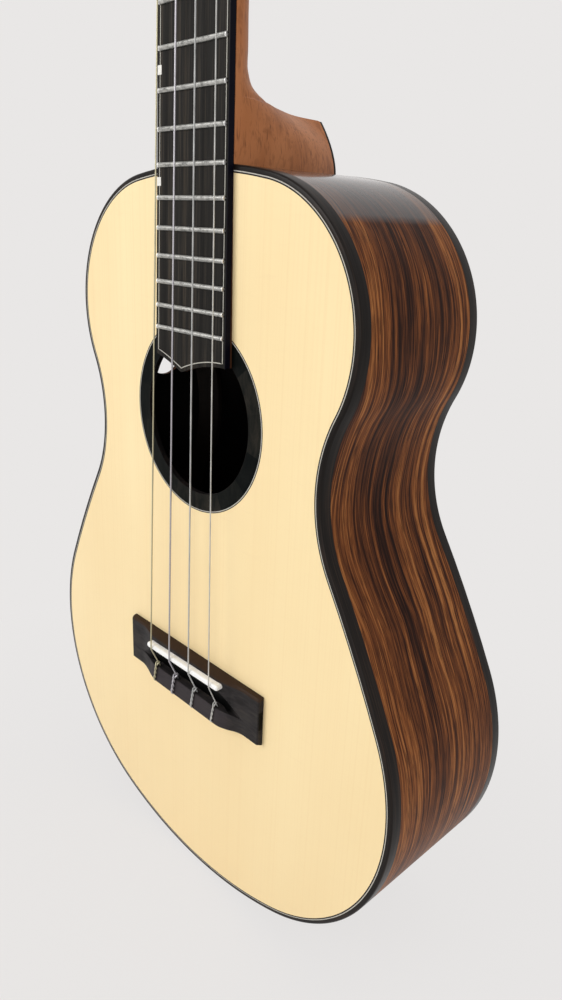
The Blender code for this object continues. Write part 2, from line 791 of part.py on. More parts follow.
def make_fretboard():
    curve = [(x, BOARD_END_Z - drop) for x, drop in board_end_curve()]
    end_count = len(curve)
    loop = [(-board_half(0), -GAP), (-board_half(JOINT_Z), JOINT_Z)] + curve
    loop += [(board_half(JOINT_Z), JOINT_Z), (board_half(0), -GAP)]
    count = len(loop)
    vertices = [(x, board_top(z), z) for x, z in loop]
    vertices += [(x, max(neck_front(z), 0.0) - GAP, z) for x, z in loop]
    faces = [tuple(range(count))]
    faces.append((count, count + 1, 2 * count - 2, 2 * count - 1))
    faces.append(tuple(count + 1 + index for index in range(end_count + 2)))
    for index in range(count):
        turn = (index + 1) % count
        faces.append((index, turn, count + turn, count + index))
    board = add_mesh("fretboard", vertices, faces, "dark_wood")
    slots = []
    for number in range(1, FRET_COUNT + 1):
        z = fret_z(number)
        reach = board_half(z) - FRET_EDGE + GAP
        low = (-reach, board_top(z) - BOARD_THICKNESS, z - TANG_WIDTH / 2 - GAP)
        high = (reach, board_top(z) + TANG_DEPTH + 2 * GAP, z + TANG_WIDTH / 2 + GAP)
        slots.append(box_data(low, high))
    combine(board, add_helper("fret_slots", *merged(slots)), "DIFFERENCE")


def make_frets():
    """Each fret is a low crown on a tang that stands in the board's slot."""
    crown = []
    for step in range(CROWN_STEPS + 1):
        angle = math.pi * step / CROWN_STEPS
        crown.append((-GAP - FRET_HEIGHT * math.sin(angle), FRET_WIDTH / 2 * math.cos(angle)))
    half = TANG_WIDTH / 2
    tang = [(-GAP, -half), (TANG_DEPTH, -half), (TANG_DEPTH, half), (-GAP, half)]
    section = crown + tang
    for number in range(1, FRET_COUNT + 1):
        z = fret_z(number)
        reach = board_half(z) - FRET_EDGE
        rings = [[(x, y, height) for y, height in section] for x in (-reach, reach)]
        fret = add_mesh(f"fret_{number:02d}", *loft_data(rings), "nickel", 40.0)
        fret.location = (0, board_top(z), z)
        fret.rotation_euler = (-math.atan(BOARD_TILT), 0, 0)


def make_nut():
    half = board_half(0)
    foot = neck_front(0) - GAP
    top = board_top(0) - NUT_STRING_HEIGHT - NUT_RISE
    profile = [
        (foot, GAP),
        (top, GAP),
        (top, NUT_THICKNESS * 0.4),
        (top + 3 * NUT_RISE, NUT_THICKNESS),
        (foot, NUT_THICKNESS),
    ]
    rings = [[(x, y, z) for y, z in profile] for x in (-half, half)]
    nut = add_mesh("nut", *loft_data(rings), "bone", None)
    slots = []
    for number, radius in enumerate(STRING_RADII, start=1):
        x = string_x(number, 0)
        reach = radius + GAP
        low = (x - reach, top - NUT_THICKNESS, -NUT_THICKNESS)
        high = (x + reach, string_y(0) + reach, 2 * NUT_THICKNESS)
        slots.append(box_data(low, high))
    combine(nut, add_helper("nut_slots", *merged(slots)), "DIFFERENCE")


def saddle_z(x):
    """Height of the saddle's middle line, which slants to lengthen the bass strings."""
    return SADDLE_Z - SADDLE_SETBACK + SADDLE_SLANT * x / SADDLE_LENGTH


def bridge_section(core):
    """(z below the saddle line, height) points across the bridge: 1 is its core, 0 its wings."""
    wing_step = (BRIDGE_WING_REAR - BRIDGE_FRONT) / 6
    wing_edge = BRIDGE_WING_HEIGHT / 2
    saddle_rear = SADDLE_SETBACK + SADDLE_THICKNESS
    pairs = (
        ((-BRIDGE_FRONT, GAP), (-BRIDGE_FRONT, GAP)),
        ((-BRIDGE_FRONT + GAP, 0.6 * BRIDGE_HEIGHT), (-BRIDGE_FRONT + GAP, 0.8 * BRIDGE_WING_HEIGHT)),
        ((-GAP, BRIDGE_HEIGHT), (-BRIDGE_FRONT / 2, BRIDGE_WING_HEIGHT)),
        ((saddle_rear, BRIDGE_HEIGHT), (wing_step, BRIDGE_WING_HEIGHT)),
        ((TIE_BLOCK_FRONT * 0.6, CHANNEL_FLOOR), (2 * wing_step, BRIDGE_WING_HEIGHT)),
        ((TIE_BLOCK_FRONT, CHANNEL_FLOOR), (3 * wing_step, BRIDGE_WING_HEIGHT)),
        ((TIE_BLOCK_FRONT + GAP, TIE_BLOCK_HEIGHT), (4 * wing_step, BRIDGE_WING_HEIGHT)),
        ((TIE_BLOCK_REAR, TIE_BLOCK_HEIGHT), (BRIDGE_WING_REAR - 4 * GAP, BRIDGE_WING_HEIGHT)),
        ((BRIDGE_CORE_REAR - 2 * GAP, TIE_BLOCK_HEIGHT / 2), (BRIDGE_WING_REAR - GAP, wing_edge)),
        ((BRIDGE_CORE_REAR, GAP), (BRIDGE_WING_REAR, GAP)),
    )
    return [
        (wing[0] + (centre[0] - wing[0]) * core, wing[1] + (centre[1] - wing[1]) * core)
        for centre, wing in pairs
    ]


def make_bridge():
    """The bridge's section swells from its thin wings to a core with a saddle slot and a tie block."""
    half = BRIDGE_LENGTH / 2
    core_half = BRIDGE_CORE_LENGTH / 2
    stations = [(half, 0.0)]
    for step in range(BRIDGE_BLEND_STEPS + 1):
        share = step / BRIDGE_BLEND_STEPS
        core = (1 - math.cos(math.pi * share)) / 2
        stations.append((core_half + BRIDGE_BLEND_LENGTH * (1 - share), core))
    stations = [(-x, core) for x, core in stations] + [(x, core) for x, core in reversed(stations)]
    rings = [[(x, -height, SADDLE_Z - z) for z, height in bridge_section(core)] for x, core in stations]
    bridge = add_mesh("bridge", *loft_data(rings), "dark_wood")
    slot_half = SADDLE_LENGTH / 2 + GAP
    slot_reach = SADDLE_THICKNESS / 2 + GAP
    above = -2 * BRIDGE_HEIGHT
    rings = []
    for x in (-slot_half, slot_half):
        low, high = saddle_z(x) - slot_reach, saddle_z(x) + slot_reach
        corners = ((-SLOT_FLOOR, low), (-SLOT_FLOOR, high), (above, high), (above, low))
        rings.append([(x, y, z) for y, z in corners])
    combine(bridge, add_helper("saddle_slot", *loft_data(rings)), "DIFFERENCE")
    holes = []
    overshoot = TIE_BLOCK_FRONT / 3
    hole_end = SADDLE_Z - BRIDGE_CORE_REAR - overshoot
    length = SADDLE_Z - TIE_BLOCK_FRONT / 2 - hole_end
    for number in range(1, len(STRING_RADII) + 1):
        start = (string_x(number, SADDLE_Z), -TIE_HOLE_HEIGHT, hole_end)
        holes.append(cylinder_data(start, 2, length, TIE_HOLE_RADIUS, TIE_HOLE_STEPS))
    combine(bridge, add_helper("tie_holes", *merged(holes)), "DIFFERENCE")


def saddle_top():
    """Height of the saddle's crest above the soundboard."""
    return STRING_HEIGHT_AT_SADDLE - max(STRING_RADII) - GAP


def make_saddle():
    """A bone bar with a rounded top and rounded ends."""
    half = SADDLE_LENGTH / 2
    radius = SADDLE_THICKNESS / 2
    foot, top = SLOT_FLOOR + GAP, saddle_top()
    rings = []
    for inset, width, drop in ((0, 0.45, 0.5), (0.3, 0.85, 0.15), (1.0, 1.0, 0.0)):
        rings.append((half - inset * radius, width * radius, drop * radius))
    stations = [(-x, width, drop) for x, width, drop in rings] + list(reversed(rings))
    sections = []
    for x, width, drop in stations:
        middle = saddle_z(x)
        ring = [(x, -foot, middle - width), (x, -foot, middle + width)]
        for step in range(SADDLE_TOP_STEPS + 1):
            angle = math.pi * step / SADDLE_TOP_STEPS
            height = top - radius * (1 - math.sin(angle)) - drop
            ring.append((x, -height, middle + width * math.cos(angle)))
        sections.append(ring)
    add_mesh("saddle", *loft_data(sections), "bone", 40.0)


def post_place(number):
    """(x, z) of a string's post in the headstock's frame. The outer strings use the lower posts."""
    side = 1 if number < 3 else -1
    row = 0 if number in (1, 4) else 1
    return side * POST_X, FIRST_POST_Z + row * POST_PITCH, side


def coil_points(number, radius, head_frame):
    """The windings round a post, and the point where the string reaches them."""
    post_x, post_z, side = post_place(number)
    coil_radius = POST_RADIUS + GAP + radius
    pitch = 2 * radius + GAP
    steps = math.ceil(COIL_TURNS * COIL_STEPS)
    points = []
    for step in range(steps + 1):
        angle = math.pi + side * 0.1 - 2 * math.pi * step / COIL_STEPS
        x = post_x + side * coil_radius * math.cos(angle)
        z = post_z + coil_radius * math.sin(angle)
        y = -POST_RISE / 2 + pitch * step / COIL_STEPS
        points.append(head_frame @ Vector((x, y, z)))
    return points


def tie_points(number, radius):
    """The string's end: down from the saddle, through the tie block, and back over its top."""
    x = string_x(number, SADDLE_Z)
    over = TIE_BLOCK_HEIGHT + GAP + radius
    behind = SADDLE_Z - BRIDGE_CORE_REAR - GAP - 2 * radius
    rear_edge = SADDLE_Z - TIE_BLOCK_REAR
    front_edge = SADDLE_Z - TIE_BLOCK_FRONT
    crest = saddle_z(x)
    return [
        (x, -STRING_HEIGHT_AT_SADDLE, crest + SADDLE_THICKNESS / 3),
        (x, -STRING_HEIGHT_AT_SADDLE, crest - SADDLE_THICKNESS / 3),
        (x, -TIE_HOLE_HEIGHT, front_edge + 2 * radius),
        (x, -TIE_HOLE_HEIGHT, behind + radius),
        (x - radius, -TIE_HOLE_HEIGHT - radius, behind),
        (x - 2 * radius, -over + radius, rear_edge - 3 * radius),
        (x - 2 * radius, -over, rear_edge),
        (x + 2 * radius, -over, front_edge - radius),
        (x + 3 * radius, -over + 2 * radius, front_edge + 3 * radius),
    ]


def make_strings(head_frame):
    for number, radius in enumerate(STRING_RADII, start=1):
        nut_front = (string_x(number, 0), string_y(0), 0.0)
        nut_rear = (string_x(number, 0), string_y(0) + GAP, NUT_THICKNESS)
        points = list(reversed(coil_points(number, radius, head_frame)))
        points += [nut_rear, nut_front] + tie_points(number, radius)
        curve = bpy.data.curves.new(f"string_{number}", "CURVE")
        curve.dimensions = "3D"
        curve.bevel_depth = radius
        curve.bevel_resolution = 2
        curve.use_fill_caps = True
        spline = curve.splines.new("POLY")
        spline.points.add(len(points) - 1)
        for place, point in zip(spline.points, points):
            place.co = (*point, 1.0)
        obj = bpy.data.objects.new(f"string_{number}", curve)
        bpy.context.collection.objects.link(obj)
        finish_object(obj, "nylon", None)


GEAR_CENTRE_DISTANCE = GEAR_RADIUS + WORM_SHAFT_RADIUS + GAP
THREAD_RADIUS = WORM_SHAFT_RADIUS + THREAD_HEIGHT
WORM_PITCH = 2 * math.pi * (GEAR_RADIUS - 0.4 * TOOTH_HEIGHT) / GEAR_TEETH
PLATE_REAR = HEAD_THICKNESS + GAP + TUNER_PLATE_THICKNESS
WORM_DEPTH = PLATE_REAR + THREAD_RADIUS + GAP


def thread_data():
    """A right-handed worm thread about the X axis, with a space facing the gear above it."""
    crest, root = WORM_PITCH * 0.10, WORM_PITCH * 0.23
    sunk = WORM_SHAFT_RADIUS * 0.85
    section = ((sunk, -root), (THREAD_RADIUS, -crest), (THREAD_RADIUS, crest), (sunk, root))
    count = THREAD_TURNS * THREAD_STEPS
    rings = []
    for step in range(count + 1):
        turns = step / THREAD_STEPS - THREAD_TURNS / 2
        angle = 2 * math.pi * turns + math.pi / 2
        centre = WORM_PITCH * turns + WORM_PITCH / 2 * (1 if THREAD_TURNS % 2 else 0)
        angle += 0.0 if THREAD_TURNS % 2 else math.pi
        rings.append([(centre + x, r * math.cos(angle), r * math.sin(angle)) for r, x in section])
    return loft_data(rings)


def button_data(start, side):
    """A flat oval button on the end of a key's shaft."""
    rings = []
    for share, size in ((0.0, 0.35), (0.12, 0.75), (0.4, 1.0), (0.7, 1.0), (0.92, 0.7), (1.0, 0.4)):
        ring = []
        for step in range(BUTTON_STEPS):
            angle = 2 * math.pi * step / BUTTON_STEPS
            y = BUTTON_THICKNESS / 2 * (0.5 + 0.5 * size) * math.cos(angle)
            ring.append((start + side * BUTTON_LENGTH * share, y, BUTTON_WIDTH / 2 * size * math.sin(angle)))
        rings.append(ring)
    return loft_data(rings)


def make_tuner(number, head_frame):
    """One tuner: a plate with two ears, a key with its worm, and a post with its gear."""
    post_x, post_z, side = post_place(number)
    worm_z = post_z - GEAR_CENTRE_DISTANCE
    ear_inner = TUNER_PLATE_HALF_WIDTH - EAR_THICKNESS
    plate = add_mesh(
        f"tuner_plate_{number}",
        *box_data(
            (-TUNER_PLATE_HALF_WIDTH, HEAD_THICKNESS + GAP, -GEAR_CENTRE_DISTANCE - TUNER_PLATE_TOP / 2),
            (TUNER_PLATE_HALF_WIDTH, PLATE_REAR, TUNER_PLATE_TOP),
        ),
        "nickel",
    )
    ears = []
    for low in (-TUNER_PLATE_HALF_WIDTH, ear_inner):
        ears.append(
            box_data(
                (low, PLATE_REAR - TUNER_PLATE_THICKNESS / 2, -GEAR_CENTRE_DISTANCE - EAR_HALF_WIDTH),
                (low + EAR_THICKNESS, WORM_DEPTH + EAR_HALF_WIDTH, -GEAR_CENTRE_DISTANCE + EAR_HALF_WIDTH),
            )
        )
    shaft_bore = cylinder_data(
        (-2 * TUNER_PLATE_HALF_WIDTH, WORM_DEPTH, -GEAR_CENTRE_DISTANCE),
        0,
        4 * TUNER_PLATE_HALF_WIDTH,
        WORM_SHAFT_RADIUS + GAP,
        14,
    )
    post_bore = cylinder_data((0, 0, 0), 1, 2 * WORM_DEPTH, POST_RADIUS + GAP, POST_STEPS)
    ear_helper = add_helper(f"tuner_ears_{number}", *merged(ears))
    bore_helper = add_helper(f"tuner_bores_{number}", *shaft_bore)
    post_helper = add_helper(f"post_clearance_{number}", *post_bore)
    combine(plate, ear_helper, "UNION")
    combine(plate, bore_helper, "DIFFERENCE")
    combine(plate, post_helper, "DIFFERENCE")
    for piece in (plate, ear_helper, bore_helper, post_helper):
        piece.parent = head_frame
        piece.location = (post_x, 0, post_z)

    inner_end = -side * (TUNER_PLATE_HALF_WIDTH + GAP)
    button_start = side * (HEAD_TOP_HALF + BUTTON_CLEARANCE - POST_X)
    shaft_low = min(inner_end, button_start + side * BUTTON_LENGTH / 3)
    shaft_high = max(inner_end, button_start + side * BUTTON_LENGTH / 3)
    shaft = cylinder_data((shaft_low, 0, 0), 0, shaft_high - shaft_low, WORM_SHAFT_RADIUS, THREAD_STEPS)
    key = add_mesh(f"tuner_key_{number}", *shaft, "nickel")
    thread = add_helper(f"worm_thread_{number}", *thread_data())
    button = add_helper(f"button_blank_{number}", *button_data(button_start, side))
    combine(key, thread, "UNION")
    combine(key, button, "UNION")
    for piece in (key, thread, button):
        piece.parent = head_frame
        piece.location = (post_x, WORM_DEPTH, worm_z)

    gear_front = WORM_DEPTH - GEAR_THICKNESS / 2
    gear_rear = WORM_DEPTH + GEAR_THICKNESS / 2
    hub = POST_RADIUS + 2 * GAP
    profile = (
        (POST_RADIUS * 0.7, -POST_RISE),
        (POST_RADIUS, -POST_RISE + POST_RADIUS * 0.3),
        (POST_RADIUS, PLATE_REAR + GAP),
        (hub, PLATE_REAR + GAP),
        (hub, gear_rear + 2 * GAP),
        (POST_RADIUS * 0.8, gear_rear + 4 * GAP),
    )
    post = add_mesh(f"tuner_post_{number}", *turned_data(profile, POST_STEPS), "nickel")
    rings = []
    tip, root = 0.04, 0.12
    for y in (gear_front, gear_rear):
        ring = []
        for tooth in range(GEAR_TEETH):
            middle = tooth / GEAR_TEETH - 0.25
            for radius, share in (
                (GEAR_RADIUS - TOOTH_HEIGHT, -root * 2),
                (GEAR_RADIUS, -tip * 2.5),
                (GEAR_RADIUS, tip * 2.5),
                (GEAR_RADIUS - TOOTH_HEIGHT, root * 2),
            ):
                angle = 2 * math.pi * (middle + share / GEAR_TEETH)
                ring.append((radius * math.cos(angle), y, radius * math.sin(angle)))
        rings.append(ring)
    gear = add_helper(f"gear_blank_{number}", *loft_data(rings))
    combine(post, gear, "UNION")
    for piece in (post, gear):
        piece.parent = head_frame
        piece.location = (post_x, 0, post_z)


def main():
    for obj in list(bpy.data.objects):
        bpy.data.objects.remove(obj, do_unlink=True)
    make_soundboard()
    make_rosette()
    make_body_edges()
    make_sides()
    make_back_plate()
    make_linings()
    make_blocks()
    make_cross_braces()
    make_bars()
    make_bridge_plate()
    head_frame = add_head_frame()
    make_neck(head_frame)
    make_heel_cap()
    make_fretboard()
    make_frets()
    make_nut()
    make_bridge()
    make_saddle()
    placed = Matrix.Translation(head_frame.location) @ Matrix.Rotation(math.radians(-HEAD_TILT), 4, "X")
    make_strings(placed)
    for number in range(1, len(STRING_RADII) + 1):
        make_tuner(number, head_frame)


main()
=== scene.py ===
"""Looks of the baritone ukulele: woods, trim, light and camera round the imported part.

Lengths are in metres in the part's own frame: +Z runs up the neck, the front faces -Y and the
treble side is +X. An inset is a distance in from the body's outer edge, and a depth is a Y coordinate.
"""

import math

import bmesh
import bpy
from mathutils import Matrix, Vector


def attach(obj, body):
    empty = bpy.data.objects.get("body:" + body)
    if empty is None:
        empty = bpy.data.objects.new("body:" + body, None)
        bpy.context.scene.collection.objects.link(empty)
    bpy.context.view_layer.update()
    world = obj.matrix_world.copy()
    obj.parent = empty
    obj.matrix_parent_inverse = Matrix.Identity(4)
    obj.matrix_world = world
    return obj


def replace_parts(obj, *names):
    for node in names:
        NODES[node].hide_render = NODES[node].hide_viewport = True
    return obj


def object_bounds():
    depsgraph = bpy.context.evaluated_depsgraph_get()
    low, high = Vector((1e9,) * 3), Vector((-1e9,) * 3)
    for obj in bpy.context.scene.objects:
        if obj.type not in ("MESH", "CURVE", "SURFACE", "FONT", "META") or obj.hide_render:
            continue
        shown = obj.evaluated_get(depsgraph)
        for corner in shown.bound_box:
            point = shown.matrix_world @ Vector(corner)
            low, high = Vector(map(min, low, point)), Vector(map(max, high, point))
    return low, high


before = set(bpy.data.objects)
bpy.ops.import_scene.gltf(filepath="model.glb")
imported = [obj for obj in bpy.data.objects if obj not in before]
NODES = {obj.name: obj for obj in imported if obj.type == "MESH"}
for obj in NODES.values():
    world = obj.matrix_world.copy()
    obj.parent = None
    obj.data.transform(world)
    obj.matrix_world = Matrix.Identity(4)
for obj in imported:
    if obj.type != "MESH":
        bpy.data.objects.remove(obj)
cad_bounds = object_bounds()
BODY = "instrument"

# Camera: its place, its turns in degrees, and its lens in pixels of the photograph
CAMERA_PLACE = Vector((0.262434, -0.205141, -0.302867))
CAMERA_YAW, CAMERA_PITCH, CAMERA_ROLL = -45.809, -19.505, 2.280
FOCAL_PIXELS = 760.242
FRAME_HEIGHT = 1000
CENTRE_RIGHT, CENTRE_DOWN = -7.958, -7.126
SENSOR = 36.0

# Body
GAP = 0.0003
LIFT = 0.00006
SEAM = 0.00005
SCALE_LENGTH = 0.508
SADDLE_Z = -SCALE_LENGTH
TOP_RADIUS = 0.255
OUTLINE_ARCS = ((TOP_RADIUS, 9.5), (0.0594, 108.0), (-0.0650, -58.5), (0.6200, 6.0), (0.0984, 94.5))
DEGREES_PER_STEP = 1.5
DEPTH_AT_JOINT, DEPTH_AT_TAIL = 0.0720, 0.0840
PLATE_THICKNESS = 0.0025
SIDE_THICKNESS = 0.0020
BINDING_HEIGHT = 0.0060
MIDDLE_Z = SADDLE_Z + 0.0500
EDGE_ROUNDING = 0.0010
HOLE_Z = SADDLE_Z + 0.1223
HOLE_RADIUS = 0.0355
ROSETTE_RADIUS = HOLE_RADIUS + 0.0082
ROSETTE_THICKNESS = 0.0012
PORT_Z = SADDLE_Z + 0.1450
PORT_DEPTH = 0.0400
PORT_HALF_LENGTH, PORT_HALF_WIDTH, PORT_STEPS = 0.0200, 0.0150, 56
ROSETTE_LINE, ROSETTE_SEGMENTS = 0.0004, 14

# The dark strips up the middle of the tail and the back, and the white lines beside them
STRIP_HALF_WIDTH, STRIP_LINE = 0.0022, 0.0005
STRIP_PARTS = (
    ("", "ebony", "ebony", -STRIP_HALF_WIDTH, STRIP_HALF_WIDTH),
    ("_bass_line", "white_line", "spruce", -STRIP_HALF_WIDTH - STRIP_LINE, -STRIP_HALF_WIDTH),
    ("_treble_line", "white_line", "spruce", STRIP_HALF_WIDTH, STRIP_HALF_WIDTH + STRIP_LINE),
)

# The band round the soundboard, from the binding inwards
BAND_WHITE, BAND_BLACK, BAND_END = 0.00215, 0.00253, 0.0031

# Fretboard
BOARD_TILT = 0.012
BOARD_THICKNESS = 0.0026
BOARD_HALF_AT_NUT, BOARD_HALF_AT_END = 0.0189, 0.0242
BOARD_END_Z = SADDLE_Z + 0.1480
BOARD_TIP_DROP, BOARD_TIP_X = 0.0060, -0.0055
FRET_EDGE = 0.0013
LINE_INSET, LINE_WIDTH = 0.0018, 0.0004
BLOCK_FRETS = (12, 15)
BLOCK_WIDTH, BLOCK_HEIGHT = 0.0027, 0.0034

# Neck and heel. A rounding is the power of the cosine across and of the sine backwards.
SHAFT_DEPTH_AT_NUT, SHAFT_DEPTH_AT_HEEL = 0.0148, 0.0157
SHAFT_ROUNDING, HEEL_ROUNDING, HEAD_ROUNDING = (0.98, 0.98), (2.0, 1.0), (0.42, 0.42)
TIP_ROUNDING = (5.5, 1.0)
HEEL_HEIGHT = 0.0222
# Where the ridge sweeps from the heel's tip to the shaft: height over the body, depth, rounding across
SWEEP = (
    (0.0224, 0.0680, 5.5),
    (0.0228, 0.0532, 4.8),
    (0.0243, 0.0431, 3.3),
    (0.0259, 0.0367, 3.2),
    (0.0274, 0.0286, 2.4),
    (0.0290, 0.0232, 1.8),
    (0.0310, 0.0196, 1.4),
    (0.0340, 0.0177, 1.3),
    (0.0400, 0.0160, 0.98),
    (0.0500, 0.0157, 0.98),
)
HEEL_CAP_HALF_WIDTH, HEEL_CAP_THICKNESS, HEEL_CAP_POWER = 0.0100, 0.0014, 1.7
RIDGE_HALF = 0.0004
SECTION_STEPS = 24
HEEL_STEPS = 16
SWEEP_STEPS = 4

# Headstock, in its own frame: its face is the plane Y = 0
HEAD_TILT = math.radians(12.0)
HEAD_LENGTH, HEAD_THICKNESS = 0.1320, 0.0130
HEAD_SHOULDER_HALF, HEAD_TOP_HALF = 0.0295, 0.0325
HEAD_SHOULDER_START, HEAD_SHOULDER_END = 0.0040, 0.0220
HEAD_CORNER_RADIUS = 0.0120
HEAD_EDGE = 0.0009
NUT_THICKNESS = 0.0050

# Bridge, saddle and strings. Distances along Z are below the saddle line.
BRIDGE_LENGTH, BRIDGE_CORE_LENGTH, BRIDGE_BLEND_LENGTH = 0.1020, 0.0480, 0.0180
BRIDGE_FRONT, BRIDGE_CORE_REAR, BRIDGE_WING_REAR = 0.0022, 0.0278, 0.0238
BRIDGE_HEIGHT, BRIDGE_WING_HEIGHT = 0.0064, 0.0034
TIE_BLOCK_FRONT, TIE_BLOCK_REAR, TIE_BLOCK_HEIGHT = 0.0150, 0.0245, 0.0066
CHANNEL_FLOOR, CHANNEL_TIP = 0.0024, 0.0148
TIE_HOLE_HEIGHT, TIE_HOLE_RADIUS = 0.0043, 0.0011
TIE_LEAN = 0.0019
SADDLE_LENGTH, SADDLE_THICKNESS = 0.0570, 0.0030
SADDLE_SETBACK, SADDLE_SLANT = 0.0022, 0.0014
STRING_HEIGHT_AT_SADDLE, STRING_HEIGHT_AT_NUT = 0.0102, 0.0022
STRING_RADII = (0.00029, 0.00037, 0.00044, 0.00036)
NUT_SPACING, SADDLE_SPACING = 0.0092, 0.0156
COIL_TURNS, COIL_STEPS = 2.25, 54
TIE_TURNS, TIE_STEPS = 1.75, 16

# Tuners
POST_X, FIRST_POST_Z, POST_PITCH = 0.0185, 0.0440, 0.0480
POST_RADIUS, POST_RISE = 0.0030, 0.0140
PLATE_REAR = HEAD_THICKNESS + GAP + 0.0012
WORM_DEPTH = PLATE_REAR + 0.0029 + GAP
GEAR_CENTRE_DISTANCE = 0.0077 + GAP
GEAR_REAR = WORM_DEPTH + 0.0010
BUTTON_LENGTH, BUTTON_WIDTH, BUTTON_THICKNESS, BUTTON_CLEARANCE = 0.0160, 0.0130, 0.0070, 0.0030
# Shares of a button's length and of its width, and how much larger its cover is
BUTTON_PROFILE = ((0.0, 0.35), (0.12, 0.75), (0.4, 1.0), (0.7, 1.0), (0.92, 0.7), (1.0, 0.4))
BUTTON_COVER = 0.05
SCREW_PROFILE = ((0.0002, 0.0008), (0.0008, 0.0007), (0.0013, 0.0004), (0.0015, 0.0), (0.0015, -0.0002))
SLOT_HALF_LENGTH, SLOT_HALF_WIDTH, SLOT_FLOOR = 0.0012, 0.00018, 0.00045
PLATE_SCREW_ACROSS, PLATE_SCREW_UP = 0.0053, 0.0066
BUSHING_PROFILE = ((0.0044, -0.0012), (0.0050, -0.0008), (0.0052, LIFT))

# Where the sides' lacquer shines, over and below the dull part that hands and arms rub, and where their wood
# is darkened with painted shade
GLOSS_AND_SHADE_ABOVE, GLOSS_AND_SHADE_BELOW = SADDLE_Z + 0.2065, SADDLE_Z - 0.1040

# Colours, linear, and the roughness of every lacquer
COAT_ROUGHNESS = 0.12
# Painted shade: the near-black tone of faces inside the body
PAINTED_INSIDE_SHADE = (0.004, 0.003, 0.003)
PALE = (0.815, 0.799, 0.791, 1.0)
WHITE_LINE = (0.55, 0.53, 0.47, 1.0)
BLACK_LINE = (0.010, 0.008, 0.008, 1.0)


def fret_z(number):
    """Height of a fret on the neck."""
    return -SCALE_LENGTH * (1 - 2 ** (-number / 12))


JOINT_Z = fret_z(14) + 0.0007


def half_outline(inset):
    """(x, z) points from the top centre to the tail centre, this far inside the body's edge."""
    x, z, heading = 0.0, JOINT_Z, 0.0
    half = [(0.0, JOINT_Z - inset)]
    for index in range(len(OUTLINE_ARCS) + 1):
        if index < len(OUTLINE_ARCS):
            radius, turn = OUTLINE_ARCS[index][0], math.radians(OUTLINE_ARCS[index][1])
        else:
            radius, turn = x / math.sin(heading), math.pi - heading
        steps = math.ceil(abs(math.degrees(turn)) / DEGREES_PER_STEP)
        centre_x = x - radius * math.sin(heading)
        centre_z = z - radius * math.cos(heading)
        for step in range(1, steps + 1):
            angle = heading + turn * step / steps
            point_x = centre_x + (radius - inset) * math.sin(angle)
            half.append((point_x, centre_z + (radius - inset) * math.cos(angle)))
        heading += turn
        x = centre_x + radius * math.sin(heading)
        z = centre_z + radius * math.cos(heading)
    half[-1] = (0.0, half[-1][1])
    return half


def outline(inset):
    """The closed outline: down the treble side to the tail, then up the bass side."""
    half = half_outline(inset)
    return half + [(-x, z) for x, z in reversed(half[1:-1])]


TAIL_Z = half_outline(0)[-1][1]
TAIL_INDEX = len(half_outline(0)) - 1


def half_width(z):
    """Half the body's width at this height."""
    half = half_outline(0)
    for (x_high, z_high), (x_low, z_low) in zip(half, half[1:]):
        if z_high >= z >= z_low:
            return x_high + (x_low - x_high) * (z_high - z) / max(z_high - z_low, 1e-9)
    return 0.0


def back_depth(z):
    """Depth of the back's outer face."""
    return DEPTH_AT_JOINT + (DEPTH_AT_TAIL - DEPTH_AT_JOINT) * (JOINT_Z - z) / (JOINT_Z - TAIL_Z)


def from_front(distance):
    return lambda z: distance


def from_back(distance):
    return lambda z: back_depth(z) - distance


def body_top(x):
    """Height of the body's upper end beside its centre line, where the neck meets it."""
    return JOINT_Z - TOP_RADIUS + math.sqrt(TOP_RADIUS**2 - x**2)


def board_top(z):
    """Depth of the fretboard's playing face."""
    return -GAP - BOARD_THICKNESS + BOARD_TILT * (z - JOINT_Z)


def board_half(z):
    """Half the fretboard's width."""
    return BOARD_HALF_AT_NUT + (BOARD_HALF_AT_END - BOARD_HALF_AT_NUT) * z / BOARD_END_Z


def neck_front(z):
    """Depth of the neck's flat face, under the fretboard."""
    return board_top(z) + BOARD_THICKNESS + GAP


def string_x(number, z):
    """Where a string lies across the instrument. String 1 is on the treble side."""
    spacing = NUT_SPACING + (SADDLE_SPACING - NUT_SPACING) * -z / SCALE_LENGTH
    return (2.5 - number) * spacing


HEAD_FOOT = Matrix.Translation((0, neck_front(0), NUT_THICKNESS + GAP))
HEAD_FRAME = HEAD_FOOT @ Matrix.Rotation(-HEAD_TILT, 4, "X")


def add_node(tree, kind, values, **settings):
    """A node with these settings. A value that is an output is linked, and any other is set."""
    node = tree.nodes.new(kind)
    for key, setting in settings.items():
        setattr(node, key, setting)
    for key, value in values.items():
        if isinstance(value, bpy.types.NodeSocket):
            tree.links.new(value, node.inputs[key])
        else:
            node.inputs[key].default_value = value
    return node


